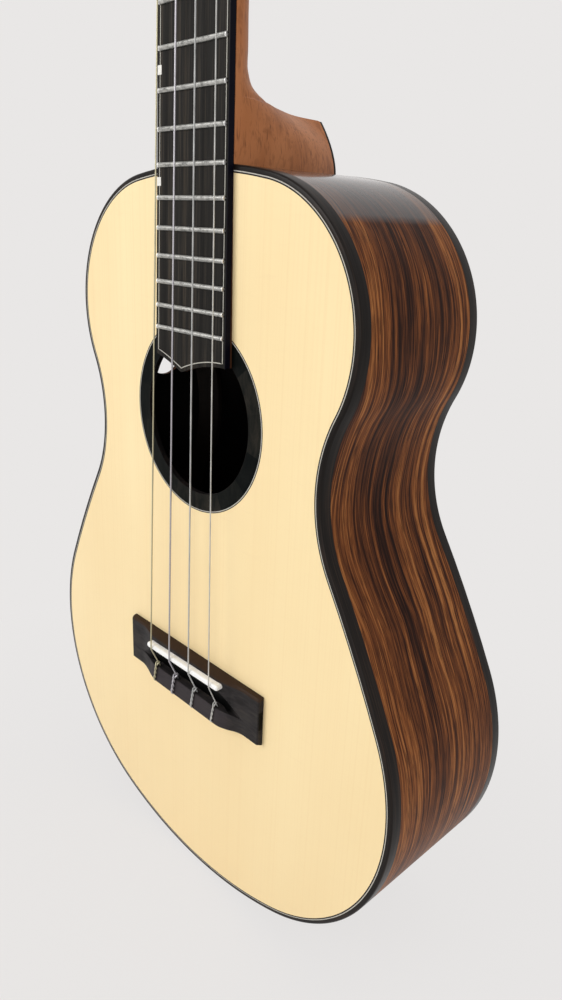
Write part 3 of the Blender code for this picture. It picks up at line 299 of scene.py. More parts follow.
class Graph:
    """The nodes of one material. Its texture space is the part's own frame."""

    def __init__(self, name, roughness=0.4, coat=0.0, metallic=0.0, specular=0.2, coat_ior=1.5):
        self.material = bpy.data.materials.new(name)
        self.material.use_nodes = True
        self.tree = self.material.node_tree
        self.shader = self.tree.nodes["Principled BSDF"]
        values = {
            "Roughness": roughness,
            "Coat Weight": coat,
            "Coat Roughness": COAT_ROUGHNESS,
            "Coat IOR": coat_ior,
            "Metallic": metallic,
            "Specular IOR Level": specular,
        }
        for key, value in values.items():
            self.shader.inputs[key].default_value = value
        self.place = self.tree.nodes.new("ShaderNodeTexCoord").outputs["Object"]

    def add(self, kind, values, **settings):
        return add_node(self.tree, kind, values, **settings)

    def calc(self, operation, first, second=0.0):
        """A Math node's output."""
        return self.add("ShaderNodeMath", {0: first, 1: second}, operation=operation).outputs[0]

    def axes(self):
        """The texture space's three coordinates."""
        return self.add("ShaderNodeSeparateXYZ", {0: self.place}).outputs

    def point(self, x, y, z):
        """A place from three coordinates."""
        return self.add("ShaderNodeCombineXYZ", {0: x, 1: y, 2: z}).outputs[0]

    def noise(self, scale, detail=3.0, rough=0.5, distortion=0.0, vector=None):
        """Noise whose features are one over scale long along each axis."""
        values = {0: vector or self.place, 1: scale}
        stretched = self.add("ShaderNodeVectorMath", values, operation="MULTIPLY").outputs[0]
        values = {
            "Vector": stretched,
            "Scale": 1.0,
            "Detail": detail,
            "Roughness": rough,
            "Distortion": distortion,
        }
        return self.add("ShaderNodeTexNoise", values).outputs["Fac"]

    def weighted(self, *pairs):
        """The sum of values times their weights."""
        total = 0.0
        for value, weight in pairs:
            values = {0: value, 1: weight, 2: total}
            total = self.add("ShaderNodeMath", values, operation="MULTIPLY_ADD").outputs[0]
        return total

    def steps(self, value, stops):
        """A colour ramp's output."""
        node = self.add("ShaderNodeValToRGB", {"Fac": value})
        elements = node.color_ramp.elements
        while len(elements) < len(stops):
            elements.new(0.5)
        for element, (position, colour) in zip(elements, stops):
            element.position = position
            element.color = (*colour[:3], 1.0)
        return node.outputs["Color"]

    def mask(self, value, low, high, strength=1.0):
        """0 below low, this strength above high, and a soft edge between them."""
        values = {"Value": value, "From Min": low, "From Max": high, "To Max": strength}
        return self.add("ShaderNodeMapRange", values, clamp=True).outputs["Result"]

    def mix(self, share, first, second):
        """A mix of two colours."""
        values = {"Factor": share, 6: first, 7: (*second[:3], 1.0) if isinstance(second, tuple) else second}
        return self.add("ShaderNodeMix", values, data_type="RGBA").outputs[2]

    def finish(self, colour, height=None, depth=0.0002, rough=None):
        """Connects the colour, a relief of this depth in metres and a varying roughness."""
        links = self.tree.links
        links.new(colour, self.shader.inputs["Base Color"])
        if height is not None:
            bump = self.add("ShaderNodeBump", {"Height": height, "Distance": depth, "Strength": 0.6})
            links.new(bump.outputs["Normal"], self.shader.inputs["Normal"])
        if rough is not None:
            links.new(rough, self.shader.inputs["Roughness"])
        return self.material


def spruce_material():
    """Pale spruce: very soft upright lines, broad warm clouds and faint silk across them."""
    g = Graph("spruce", 0.38, coat=0.12)
    clouds = g.noise((14, 14, 5), 3.0, 0.5)
    lines = g.noise((800, 1, 2.0), 2.0, 0.4)
    bands = g.noise((60, 1, 0.8), 3.0, 0.5)
    silk = g.noise((60, 60, 420), 3.0, 0.6, 0.4)
    base = g.steps(clouds, ((0.32, (0.925, 0.722, 0.398)), (0.68, (0.975, 0.795, 0.462))))
    banded = g.mix(g.mask(bands, 0.35, 0.75, 0.5), base, (0.95, 0.75, 0.425))
    lined = g.mix(g.mask(lines, 0.50, 0.82, 0.32), banded, (0.86, 0.62, 0.31))
    colour = g.mix(g.mask(silk, 0.58, 0.80, 0.15), lined, (0.84, 0.63, 0.35))
    low = g.mask(g.calc("MULTIPLY", g.axes()[2], -1.0), 0.42, 0.63, 0.35)
    return g.finish(g.mix(low, colour, (0.90, 0.68, 0.37)), lines, 0.00002)


def streaked(name, on_sides):
    """Rosewood with dense dark and orange-brown streaks, for the sides or for the back's mirrored halves."""
    g = Graph(name, 0.40, coat=0.0 if on_sides else 0.35, specular=0.05, coat_ior=1.36)
    x, y, z = g.axes()
    if on_sides:
        sway = g.noise((9, 6, 9), 2.0, 0.5)
        y = g.weighted((g.calc("SUBTRACT", sway, 0.5), 0.030), (y, 1.0))
        long, across = 5.0, 1
    else:
        x = g.calc("ABSOLUTE", x)
        sway = g.noise((8, 8, 7), 2.0, 0.5)
        x = g.weighted((g.calc("SUBTRACT", sway, 0.5), 0.036), (x, 1.0))
        long, across = 4.0, 0
    place = g.point(x, y, z)

    def grain(frequency, length, detail, roughness):
        scale = [length, length, length]
        scale[across] = frequency
        return g.noise(tuple(scale), detail, roughness, vector=place)

    bands = grain(60, long * 0.7, 2.0, 0.5)
    streaks = grain(420, long * 1.6, 3.0, 0.6)
    fine = grain(1500, long * 7, 3.0, 0.6)
    pores = grain(2900, long * 20, 2.0, 0.5)
    below = g.calc("MULTIPLY", z, -1.0)
    warmth = g.mask(below, 0.36, 0.46, 0.017)
    blend = g.weighted((bands, 0.26), (streaks, 0.40), (fine, 0.34), (warmth, 1.0))
    tones = (
        (0.41, (0.018, 0.007, 0.005)),
        (0.455, (0.055, 0.019, 0.010)),
        (0.50, (0.138, 0.045, 0.017)),
        (0.545, (0.262, 0.086, 0.027)),
        (0.60, (0.460, 0.182, 0.058)),
    )
    colour = g.mix(g.mask(pores, 0.53, 0.64, 0.75), g.steps(blend, tones), (0.014, 0.007, 0.006))
    if on_sides:
        shoulder = g.mask(z, GLOSS_AND_SHADE_ABOVE, GLOSS_AND_SHADE_ABOVE + 0.003)
        tail = g.mask(below, -GLOSS_AND_SHADE_BELOW, -TAIL_Z)
        g.tree.links.new(g.calc("MAXIMUM", shoulder, tail), g.shader.inputs["Coat Weight"])
        # Painted shade: the wood of the shoulder and the tail is darkened towards a cool near-black
        shade_share = g.calc("MAXIMUM", g.calc("MULTIPLY", shoulder, 0.65), g.calc("MULTIPLY", tail, 0.75))
        colour = g.mix(shade_share, colour, (0.012, 0.012, 0.014))
    else:
        # Painted shade: the back's inner face takes the dark tone of the body's unlit inside
        slope = (DEPTH_AT_TAIL - DEPTH_AT_JOINT) / (JOINT_Z - TAIL_Z)
        face = g.weighted((z, -slope), (1.0, DEPTH_AT_JOINT + slope * JOINT_Z - PLATE_THICKNESS / 2))
        colour = g.mix(g.calc("LESS_THAN", y, face), colour, PAINTED_INSIDE_SHADE)
    return g.finish(colour, pores, 0.00002)


def mahogany_material():
    """Reddish brown, with wavy darker figure and short dark pores along the neck."""
    g = Graph("mahogany", 0.45, coat=0.03, specular=0.12)
    broad = g.noise((45, 28, 9), 3.0, 0.55, 0.8)
    figure = g.noise((150, 110, 70), 3.0, 0.6, 2.2)
    pores = g.noise((1300, 1300, 130), 2.0, 0.6, 0.3)
    base = g.steps(broad, ((0.3, (0.390, 0.128, 0.040)), (0.7, (0.620, 0.245, 0.096))))
    figured = g.mix(g.mask(figure, 0.50, 0.66, 0.45), base, (0.24, 0.078, 0.026))
    colour = g.mix(g.mask(pores, 0.57, 0.69, 0.55), figured, (0.11, 0.036, 0.016))
    return g.finish(colour, pores, 0.00004)


def dark_wood(name, base, streak, scale, roughness=0.42, coat=0.0):
    """Near-black wood with brown streaks. Scale gives their frequency along each axis."""
    g = Graph(name, roughness, coat=coat, specular=0.06)
    bands = g.noise(scale, 3.0, 0.55)
    lines = g.noise(tuple(5.0 * value for value in scale), 3.0, 0.6)
    mixed = g.weighted((bands, 0.55), (lines, 0.45))
    colour = g.steps(mixed, ((0.40, base), (0.51, tuple(1.6 * c for c in base)), (0.63, streak)))
    return g, colour, lines


def plain_dark_wood(*settings):
    g, colour, lines = dark_wood(*settings)
    return g.finish(colour, lines, 0.00002)


def edge_distance(g, x, z):
    """How far a place is outside the fretboard's edge."""
    slope = (BOARD_HALF_AT_END - BOARD_HALF_AT_NUT) / BOARD_END_Z
    half = g.weighted((z, slope), (1.0, BOARD_HALF_AT_NUT))
    return g.calc("SUBTRACT", g.calc("ABSOLUTE", x), half)


def board_material():
    """Dark streaks along the board, its black bound edges, and the brown wedge under its end."""
    base, streak = (0.011, 0.010, 0.009), (0.052, 0.042, 0.032)
    g, colour, lines = dark_wood("fretboard_wood", base, streak, (260, 260, 4), 0.48)
    x, y, z = g.axes()
    bound = g.mask(edge_distance(g, x, z), -0.00045, -0.00025)
    colour = g.mix(bound, colour, (0.002, 0.002, 0.006))
    tilted = g.calc("MULTIPLY", g.calc("SUBTRACT", z, JOINT_Z), BOARD_TILT)
    wedge = g.calc("GREATER_THAN", g.calc("SUBTRACT", y, tilted), -GAP)
    return g.finish(g.mix(wedge, colour, (0.060, 0.024, 0.012)), lines, 0.00002)


def bridge_material():
    """Nearly black streaked wood, browner on its front bevel and purplish on the tie block, with painted
    shade blackening its channel.
    """
    base, streak = (0.018, 0.016, 0.016), (0.042, 0.036, 0.032)
    g, colour, lines = dark_wood("bridge_wood", base, streak, (30, 150, 160), 0.40)
    x, y, z = g.axes()
    below = g.weighted((z, -1.0), (1.0, SADDLE_Z))
    bevel = g.mask(g.calc("MULTIPLY", below, -1.0), 0.0002, 0.0010)
    colour = g.mix(bevel, colour, (0.040, 0.023, 0.014))
    raised = g.mask(g.calc("MULTIPLY", y, -1.0), 0.0046, 0.0058)
    block = g.calc("MULTIPLY", g.mask(below, TIE_BLOCK_FRONT, TIE_BLOCK_FRONT + 0.0006), raised)
    colour = g.mix(g.calc("MULTIPLY", block, 0.6), colour, (0.042, 0.034, 0.038))
    # Painted shade: the channel between the saddle and the tie block is blackened
    core = g.mask(g.calc("MULTIPLY", g.calc("ABSOLUTE", x), -1.0), -0.0360, -0.0290)
    core_low = g.calc("MULTIPLY", g.mask(y, -0.0058, -0.0045), core)
    low = g.calc("MAXIMUM", g.mask(y, -0.0032, -0.0027), core_low)
    channel = g.calc("MULTIPLY", g.mask(below, 0.0052, 0.0056), low)
    inside = g.calc("LESS_THAN", below, TIE_BLOCK_FRONT)
    dark = g.calc("MULTIPLY", channel, inside)
    return g.finish(g.mix(dark, colour, (0.001, 0.001, 0.001)), lines, 0.00002)


def two_toned(g, grain, tone, shade, depth, rough=None):
    """A tone that darkens to a share of itself where the grain is low."""
    colour = g.steps(grain, ((0.3, tuple(shade * c for c in tone)), (0.7, tone)))
    return g.finish(colour, grain, depth, rough)


def brace_material(name, tone):
    """Unfinished brace wood in the given tone, which for the body's inside is a near-black painted shade."""
    g = Graph(name, 0.65)
    return two_toned(g, g.noise((500, 500, 8), 3.0, 0.5), tone, 0.75, 0.00005)


def bone_material(name, tone):
    """Polished bone with faint clouds."""
    g = Graph(name, 0.28, specular=0.5)
    return two_toned(g, g.noise((120, 120, 60), 4.0, 0.6), tone, 0.93, 0.00002)


def nickel_material(name, roughness, tone):
    """Metal with fine wear in its polish."""
    g = Graph(name, roughness, metallic=1.0)
    wear = g.noise((900, 900, 900), 4.0, 0.6)
    return two_toned(g, wear, tone, 0.88, 0.000004, g.mask(wear, -0.4 - roughness, 1.8))


def fret_material():
    """Fret wire with darker flecks, and a painted highlight that whitens its ends."""
    g = Graph("fret_wire", 0.36, metallic=0.9, specular=0.4)
    flecks = g.noise((520, 900, 900), 3.0, 0.65)
    tones = ((0.34, (0.20, 0.20, 0.19)), (0.46, (0.40, 0.40, 0.38)), (0.7, (0.56, 0.55, 0.52)))
    colour = g.steps(flecks, tones)
    x, _, z = g.axes()
    # Painted highlight: the fret ends near the board's edges are mixed towards white
    end = g.mask(edge_distance(g, x, z), -FRET_EDGE - 0.0008, -FRET_EDGE - 0.0005)
    return g.finish(g.mix(end, colour, (0.95, 0.94, 0.92)), flecks, 0.00001)


def string_material(name, tone, winding):
    """A string: smooth nylon, or fine wire wound round its core."""
    g = Graph(name, 0.34, metallic=winding, specular=0.4)
    return two_toned(g, g.noise((1, 1, 3500 if winding else 150), 1.0, 0.3), tone, 0.7, 0.00002)


def line_material(name, colour):
    """Thin inlaid lines of dyed wood."""
    g = Graph(name, 0.45, specular=0.15)
    grain = g.noise((700, 700, 90), 3.0, 0.5)
    return g.finish(g.mix(g.mask(grain, 0.3, 0.9), colour, tuple(0.7 * c for c in colour[:3])))


def rosette_material():
    """Dark segments of wood round the soundhole, each with its own tone."""
    g = Graph("rosette_wood", 0.45, specular=0.03)
    x, _, z = g.axes()
    angle = g.calc("ARCTAN2", x, g.calc("SUBTRACT", z, HOLE_Z))
    segment = g.calc("FLOOR", g.calc("MULTIPLY", angle, ROSETTE_SEGMENTS / (2 * math.pi)))
    tint = g.add("ShaderNodeTexWhiteNoise", {"W": segment}, noise_dimensions="1D").outputs["Value"]
    lines = g.noise((260, 10, 90), 4.0, 0.6, 0.5)
    value = g.weighted((tint, 0.35), (lines, 0.65))
    tones = ((0.3, (0.002, 0.003, 0.003)), (0.55, (0.007, 0.008, 0.007)), (0.8, (0.028, 0.024, 0.019)))
    return g.finish(g.steps(value, tones), lines, 0.00002)


# Each dark wood's base, its streaks, their frequency along each axis, its roughness and its coat
EBONY = ((0.007, 0.006, 0.006), (0.024, 0.018, 0.015), (160, 160, 8), 0.34, 0.06)
BINDING_WOOD = ((0.010, 0.008, 0.007), (0.038, 0.023, 0.016), (9, 500, 9), 0.3, 0.08)
BUTTON_WOOD = ((0.012, 0.009, 0.008), (0.060, 0.036, 0.024), (90, 300, 300), 0.3, 0.3)
MATERIALS = {
    "spruce": spruce_material(),
    "rosewood": streaked("side_rosewood", True),
    "back": streaked("back_rosewood", False),
    "mahogany": mahogany_material(),
    "binding": plain_dark_wood("binding_wood", *BINDING_WOOD),
    "board": board_material(),
    "bridge": bridge_material(),
    "rosette": rosette_material(),
    "ebony": plain_dark_wood("ebony", *EBONY),
    "button": plain_dark_wood("button_wood", *BUTTON_WOOD),
    "brace": brace_material("brace_spruce", (0.62, 0.46, 0.28)),
    # Painted shade: faces inside the body, and the lining and back braces seen through the holes, take
    # near-black tones
    "inside": brace_material("unlit_inside", PAINTED_INSIDE_SHADE),
    "painted_shade_brace": brace_material("brace_painted_shade", (0.010, 0.006, 0.004)),
    "bone": bone_material("bone", (0.93, 0.91, 0.85)),
    "saddle": bone_material("saddle_bone", (0.96, 0.96, 0.95)),
    "fret": fret_material(),
    "nickel": nickel_material("nickel", 0.18, (0.74, 0.73, 0.70)),
    "white_line": line_material("white_line", WHITE_LINE),
    "black_line": line_material("black_line", BLACK_LINE),
    "string_1": string_material("string_1_nylon", (0.60, 0.59, 0.56), 0.0),
    "string_2": string_material("string_2_nylon", (0.52, 0.52, 0.51), 0.0),
    "string_3": string_material("string_3_wound", (0.50, 0.48, 0.51), 0.7),
    "string_4": string_material("string_4_wound", (0.55, 0.50, 0.33), 0.5),
}
NODE_MATERIALS = {
    "back_plate": "back",
    "neck_block": "mahogany",
    "tail_block": "mahogany",
    "fretboard": "board",
    "soundboard": "spruce",
    "nut": "bone",
    # Painted shade: the lining and the back braces take a near-black tone
    "back_lining": "painted_shade_brace",
    "upper_back_brace": "painted_shade_brace",
    "lower_back_brace": "painted_shade_brace",
}


def dress_nodes():
    """Gives every node that stays its finished material."""
    for name, node in NODES.items():
        if name.startswith("fret_"):
            material = MATERIALS["fret"]
        elif name.startswith("tuner_"):
            material = MATERIALS["nickel"]
        else:
            material = MATERIALS[NODE_MATERIALS.get(name, "brace")]
        node.data.materials.clear()
        node.data.materials.append(material)


def new_mesh(name, vertices, faces):
    """A mesh with its faces turned outwards."""
    mesh = bpy.data.meshes.new(name)
    build = bmesh.new()
    made = [build.verts.new(vertex) for vertex in vertices]
    for face in faces:
        build.faces.new([made[index] for index in face])
    bmesh.ops.recalc_face_normals(build, faces=build.faces)
    build.to_mesh(mesh)
    build.free()
    return mesh


def shade(mesh, smooth_angle):
    """Shades round faces smooth and keeps the edges sharper than this angle."""
    mesh.shade_smooth()
    mesh.set_sharp_from_angle(angle=math.radians(smooth_angle))


def place_piece(name, data, material, body):
    """Adds a piece that rides on a body and takes the material of this name."""
    data.materials.append(MATERIALS[material])
    piece = bpy.data.objects.new(name, data)
    bpy.context.scene.collection.objects.link(piece)
    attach(piece, body)
    return piece


def in_head(vertices):
    """Places of the headstock's frame in the part's own."""
    return [HEAD_FRAME @ Vector(vertex) for vertex in vertices]


def make_piece(name, vertices, faces, material, slot, body=BODY, smooth_angle=30.0, on_head=False):
    """A mesh piece, given in the part's frame or in the headstock's."""
    mesh = new_mesh(name, in_head(vertices) if on_head else vertices, faces)
    shade(mesh, smooth_angle)
    return place_piece(name, mesh, material, body)


def cut(piece, vertices, faces):
    """Takes a cutter's shape out of a piece."""
    cutter = bpy.data.objects.new("cutter", new_mesh("cutter", vertices, faces))
    bpy.context.scene.collection.objects.link(cutter)
    modifier = piece.modifiers.new("cut", "BOOLEAN")
    modifier.operation = "DIFFERENCE"
    modifier.solver = "EXACT"
    modifier.object = cutter
    bpy.context.view_layer.update()
    depsgraph = bpy.context.evaluated_depsgraph_get()
    result = bpy.data.meshes.new_from_object(piece.evaluated_get(depsgraph))
    piece.modifiers.clear()
    piece.data = result
    bpy.data.objects.remove(cutter)
    shade(result, 30.0)


def loft(rings, closed=False):
    """Vertices and faces of a skin over rings of points. An open run gets end faces."""
    size, count = len(rings[0]), len(rings)
    vertices = [point for ring in rings for point in ring]
    faces = []
    for ring in range(count if closed else count - 1):
        here, there = ring * size, (ring + 1) % count * size
        for corner in range(size):
            turn = (corner + 1) % size
            faces.append((here + corner, here + turn, there + turn, there + corner))
    if not closed:
        faces.append(tuple(range(size)))
        faces.append(tuple((count - 1) * size + corner for corner in range(size)))
    return vertices, faces


def merged(parts):
    """Several sets of vertices and faces as one."""
    vertices, faces = [], []
    for part_vertices, part_faces in parts:
        start = len(vertices)
        vertices += part_vertices
        faces += [tuple(start + index for index in face) for face in part_faces]
    return vertices, faces


def circle(steps):
    """The angles of evenly spaced points round a circle."""
    return [2 * math.pi * step / steps for step in range(steps)]


def turned(profile, steps, centre=(0.0, 0.0, 0.0), closed=False):
    """A shape turned about the Y axis through a centre, from (radius, y) points."""
    rings = []
    for angle in circle(steps):
        ring = []
        for radius, y in profile:
            x, z = radius * math.cos(angle), radius * math.sin(angle)
            ring.append((centre[0] + x, centre[1] + y, centre[2] + z))
        rings.append(ring)
    if closed:
        return loft(rings, closed=True)
    along = [[rings[step][place] for step in range(steps)] for place in range(len(profile))]
    return loft(along)


def box(low, high):
    """A box between two corners, for pins, screws and slots."""
    section = ((low[1], low[2]), (high[1], low[2]), (high[1], high[2]), (low[1], high[2]))
    return loft([[(x, y, z) for y, z in section] for x in (low[0], high[0])])


def edge_strip(name, corners, material, slot, span=None):
    """A strip that follows the body's edge. Corners are (inset, depth rule) pairs round its section."""
    outlines = [outline(inset) for inset, _ in corners]
    count = len(outlines[0])
    steps = range(count) if span is None else range(span[0], span[1] + 1)
    rings = []
    for step in steps:
        ring = []
        for points, (_, depth) in zip(outlines, corners):
            x, z = points[step % count]
            ring.append((x, depth(z), z))
        rings.append(ring)
    return make_piece(name, *loft(rings, closed=span is None), material, slot)


def rounded_edge(depth_from):
    """Corners of the binding's rounded outer edge, from its side to its face."""
    corners = []
    for step in range(5):
        angle = math.pi / 2 * step / 4
        inset = EDGE_ROUNDING * (1 - math.cos(angle))
        corners.append((inset, depth_from(EDGE_ROUNDING * (1 - math.sin(angle)))))
    return corners


def hole_ring(name, inner, outer, front, rear, material, slot):
    """A flat ring round the soundhole."""
    profile = ((inner, front), (outer, front), (outer, rear), (inner, rear))
    return make_piece(name, *turned(profile, 160, (0, 0, HOLE_Z), closed=True), material, slot)


def add_soundboard():
    """The soundboard's face with the fine lines of its border, and the rosette."""
    rings = []
    for x, z in outline(BAND_END):
        angle = math.atan2(z - HOLE_Z, x)
        hole_x, hole_z = ROSETTE_RADIUS * math.cos(angle), HOLE_Z + ROSETTE_RADIUS * math.sin(angle)
        rings.append([(x, -LIFT, z), (hole_x, -LIFT, hole_z), (hole_x, LIFT, hole_z), (x, LIFT, z)])
    make_piece("soundboard_face", *loft(rings, closed=True), "spruce", "spruce")
    for name, outer, inner, slot in (
        ("white_line", BAND_WHITE, BAND_BLACK, "spruce"),
        ("black_line", BAND_BLACK, BAND_END, "ebony"),
    ):
        corners = [(outer, from_front(-LIFT)), (inner, from_front(-LIFT))]
        corners += [(inner, from_front(PLATE_THICKNESS)), (outer, from_front(PLATE_THICKNESS))]
        edge_strip(f"border_{name}", corners, name, slot)
    line_start, line_end, top = ROSETTE_RADIUS - ROSETTE_LINE, ROSETTE_RADIUS + ROSETTE_LINE, -2 * LIFT
    face = hole_ring("rosette_face", HOLE_RADIUS, line_start, top, ROSETTE_THICKNESS, "rosette", "ebony")
    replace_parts(face, "rosette_ring")
    hole_ring("rosette_white_line", line_start, ROSETTE_RADIUS, top, LIFT, "white_line", "spruce")
    hole_ring("rosette_black_line", ROSETTE_RADIUS, line_end, top, LIFT, "black_line", "ebony")
    hole_ring("soundhole_lining", HOLE_RADIUS + top, HOLE_RADIUS, top, PLATE_THICKNESS, "ebony", "ebony")


def add_edges():
    """The bindings of the top and the back."""
    corners = rounded_edge(from_front)
    corners += [(BAND_WHITE, from_front(0)), (BAND_WHITE, from_front(PLATE_THICKNESS))]
    corners += [(SIDE_THICKNESS, from_front(BINDING_HEIGHT)), (0, from_front(BINDING_HEIGHT))]
    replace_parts(edge_strip("top_edge", corners, "binding", "ebony"), "top_binding")
    corners = rounded_edge(from_back) + [(SIDE_THICKNESS, from_back(0))]
    corners += [(SIDE_THICKNESS, from_back(BINDING_HEIGHT)), (0, from_back(BINDING_HEIGHT))]
    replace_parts(edge_strip("back_edge", corners, "binding", "ebony"), "back_binding")


def port_loop(scale_length, scale_width, x):
    """A ring of points round the sound port."""
    loop = []
    for angle in circle(PORT_STEPS):
        y = PORT_DEPTH + PORT_HALF_WIDTH * scale_width * math.cos(angle)
        z = PORT_Z + PORT_HALF_LENGTH * scale_length * math.sin(angle)
        loop.append((x if x is not None else -half_width(z), y, z))
    return loop


def darken_inside(piece):
    """Gives the faces that look into the body painted shade: the dark tone of its unlit inside."""
    piece.data.materials.append(MATERIALS["inside"])
    for face in piece.data.polygons:
        outwards = Vector((face.center.x, 0.0, face.center.z - MIDDLE_Z))
        if face.normal.dot(outwards) < 0:
            face.material_index = 1


def add_sides():
    """The bent sides, the sound port with its dark rim, and the strip over their joint at the tail."""
    edge = BINDING_HEIGHT + SEAM
    corners = [(0, from_front(edge)), (SIDE_THICKNESS, from_front(edge))]
    corners += [(SIDE_THICKNESS, from_back(edge)), (0, from_back(edge))]
    treble = edge_strip("treble_side_wood", corners, "rosewood", "rosewood", (0, TAIL_INDEX))
    bass = edge_strip("bass_side_wood", corners, "rosewood", "rosewood", (TAIL_INDEX, 2 * TAIL_INDEX))
    reach = half_width(PORT_Z)
    loops = [port_loop(1, 1, -reach - 5 * SIDE_THICKNESS), port_loop(1, 1, -reach + 10 * SIDE_THICKNESS)]
    cut(bass, *loft(loops))
    darken_inside(treble)
    darken_inside(bass)
    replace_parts(treble, "treble_side")
    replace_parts(bass, "bass_side")
    loops = []
    for scale, shift in ((1.0, -LIFT), (1.07, -LIFT), (1.07, LIFT), (1.0, SIDE_THICKNESS)):
        loop = port_loop(scale, 1.3 * scale - 0.3, None)
        loops.append([(x + shift, y, z) for x, y, z in loop])
    rings = [[loop[step] for loop in loops] for step in range(len(loops[0]))]
    make_piece("sound_port_rim", *loft(rings, closed=True), "ebony", "ebony")
    rear = back_depth(TAIL_Z) - BINDING_HEIGHT
    for name, material, slot, low, high in STRIP_PARTS:
        shape = box((low, BINDING_HEIGHT, TAIL_Z - LIFT), (high, rear, TAIL_Z + SIDE_THICKNESS))
        make_piece(f"tail_strip{name}", *shape, material, slot)


def add_back_strip():
    """The fine centre strip of the two-piece back."""
    for name, material, slot, start, end in STRIP_PARTS:
        rings = []
        for z in (JOINT_Z - SIDE_THICKNESS, TAIL_Z + SIDE_THICKNESS):
            rear, front = back_depth(z) + LIFT, back_depth(z) - LIFT
            rings.append([(start, rear, z), (end, rear, z), (end, front, z), (start, front, z)])
        make_piece(f"back_strip{name}", *loft(rings), material, slot)


def blend(first, second, share):
    return tuple(low + (high - low) * share for low, high in zip(first, second))


def shaft_depth(z):
    """How far the neck's round back stands behind its flat face."""
    return SHAFT_DEPTH_AT_NUT + (SHAFT_DEPTH_AT_HEEL - SHAFT_DEPTH_AT_NUT) * z / JOINT_Z


def neck_section(z, depth, rounding, ridge_half=RIDGE_HALF):
    """One ring of the neck: flat in front, round behind."""
    front = neck_front(min(z, 0.0))
    half = board_half(min(z, 0.0))
    right = []
    for step in range(SECTION_STEPS + 1):
        angle = math.pi / 2 * step / SECTION_STEPS
        across = max(math.cos(angle), 0.0) ** rounding[0]
        back = math.sin(angle) ** rounding[1]
        right.append((ridge_half + (half - ridge_half) * across, front + depth * back, z))
    return right + [(-x, y, z) for x, y, z in reversed(right)]


def heel_share(z):
    """How far up the heel this height is, from 0 to 1."""
    return min(max((z - JOINT_Z) / HEEL_HEIGHT, 0.0), 1.0)


def heel_cap_half(z):
    """Half the width of the heel's rear face, which narrows to a point."""
    return HEEL_CAP_HALF_WIDTH * (1 - heel_share(z) ** HEEL_CAP_POWER)


def heel_rear(z):
    """Depth of the heel's rear face, under its cap."""
    return back_depth(z) - HEEL_CAP_THICKNESS - GAP


def heel_heights():
    """Heights up the heel, closer together towards its tip."""
    angles = [math.pi / 2 * step / HEEL_STEPS for step in range(HEEL_STEPS + 1)]
    return [JOINT_Z + HEEL_HEIGHT * math.sin(angle) for angle in angles]


def smooth_run(stations, steps):
    """Values on a smooth curve through the stations, this many steps from each to the next."""
    run = []
    last = len(stations) - 1
    for index in range(last):
        near = [stations[min(max(index + shift, 0), last)] for shift in (-1, 0, 1, 2)]
        for step in range(steps):
            t = step / steps
            values = []
            for a, b, c, d in zip(*near):
                bend = (2 * a - 5 * b + 4 * c - d) * t**2 + (3 * b - a - 3 * c + d) * t**3
                values.append(b + ((c - a) * t + bend) / 2)
            run.append(tuple(values))
    return run + [stations[-1]]


def neck_rings():
    """Rings from the body up the heel and the shaft, and into the headstock."""
    rings = []
    for z in heel_heights():
        depth = heel_rear(z) - neck_front(z)
        rounding = blend(HEEL_ROUNDING, TIP_ROUNDING, heel_share(z) ** 4)
        rings.append(neck_section(z, depth, rounding, heel_cap_half(z) + RIDGE_HALF))
    rings[0] = [(x, y, body_top(x)) for x, y, _ in rings[0]]
    for height, depth, power in smooth_run(SWEEP, SWEEP_STEPS):
        rings.append(neck_section(JOINT_Z + height, depth, (power, 1.0)))
    sweep_top = JOINT_Z + SWEEP[-1][0]
    for share in (0.66, 0.33, 0.1):
        z = sweep_top * share
        rings.append(neck_section(z, shaft_depth(z), SHAFT_ROUNDING))
    flush = HEAD_THICKNESS + GAP
    for step in range(9):
        share = step / 8
        ease = share * share * (3 - 2 * share)
        z = -HEAD_THICKNESS * (1.4 - 1.4 * share)
        depth = shaft_depth(0) + (flush - shaft_depth(0)) * ease
        rings.append(neck_section(z, depth, blend(SHAFT_ROUNDING, HEAD_ROUNDING, ease)))
    rings.append(neck_section(NUT_THICKNESS + GAP, HEAD_THICKNESS - GAP, HEAD_ROUNDING))
    return rings


def offset_loop(points, distance):
    """A closed loop of (x, z) points moved inwards, where the loop runs counter-clockwise."""
    moved = []
    count = len(points)
    for index in range(count):
        before, after = Vector(points[index - 1]), Vector(points[(index + 1) % count])
        along = (after - before).normalized()
        moved.append((points[index][0] - along.y * distance, points[index][1] + along.x * distance))
    return moved


def head_loop():
    """(x, z) points round the headstock, from its foot up the treble side and down the bass side."""
    right = [(BOARD_HALF_AT_NUT, 0.0), (BOARD_HALF_AT_NUT, HEAD_SHOULDER_START)]
    for step in range(1, 21):
        share = step / 20
        ease = (1 - math.cos(math.pi * share)) / 2
        x = BOARD_HALF_AT_NUT + (HEAD_SHOULDER_HALF - BOARD_HALF_AT_NUT) * ease
        right.append((x, HEAD_SHOULDER_START + (HEAD_SHOULDER_END - HEAD_SHOULDER_START) * share))
    for step in range(17):
        angle = math.pi / 2 * step / 16
        x = HEAD_TOP_HALF - HEAD_CORNER_RADIUS * (1 - math.cos(angle))
        right.append((x, HEAD_LENGTH - HEAD_CORNER_RADIUS * (1 - math.sin(angle))))
    crown_half = HEAD_TOP_HALF - HEAD_CORNER_RADIUS
    for share in (0.8, 0.6, 0.4, 0.2):
        right.append((crown_half * share, HEAD_LENGTH + HEAD_CORNER_RADIUS * (1 - share**2) / 7.5))
    return right + [(-x, z) for x, z in reversed(right)]


def post_place(number):
    """(x, z) of a string's post in the headstock's frame, and its side."""
    side = 1 if number < 3 else -1
    return side * POST_X, FIRST_POST_Z + (0 if number in (1, 4) else POST_PITCH), side


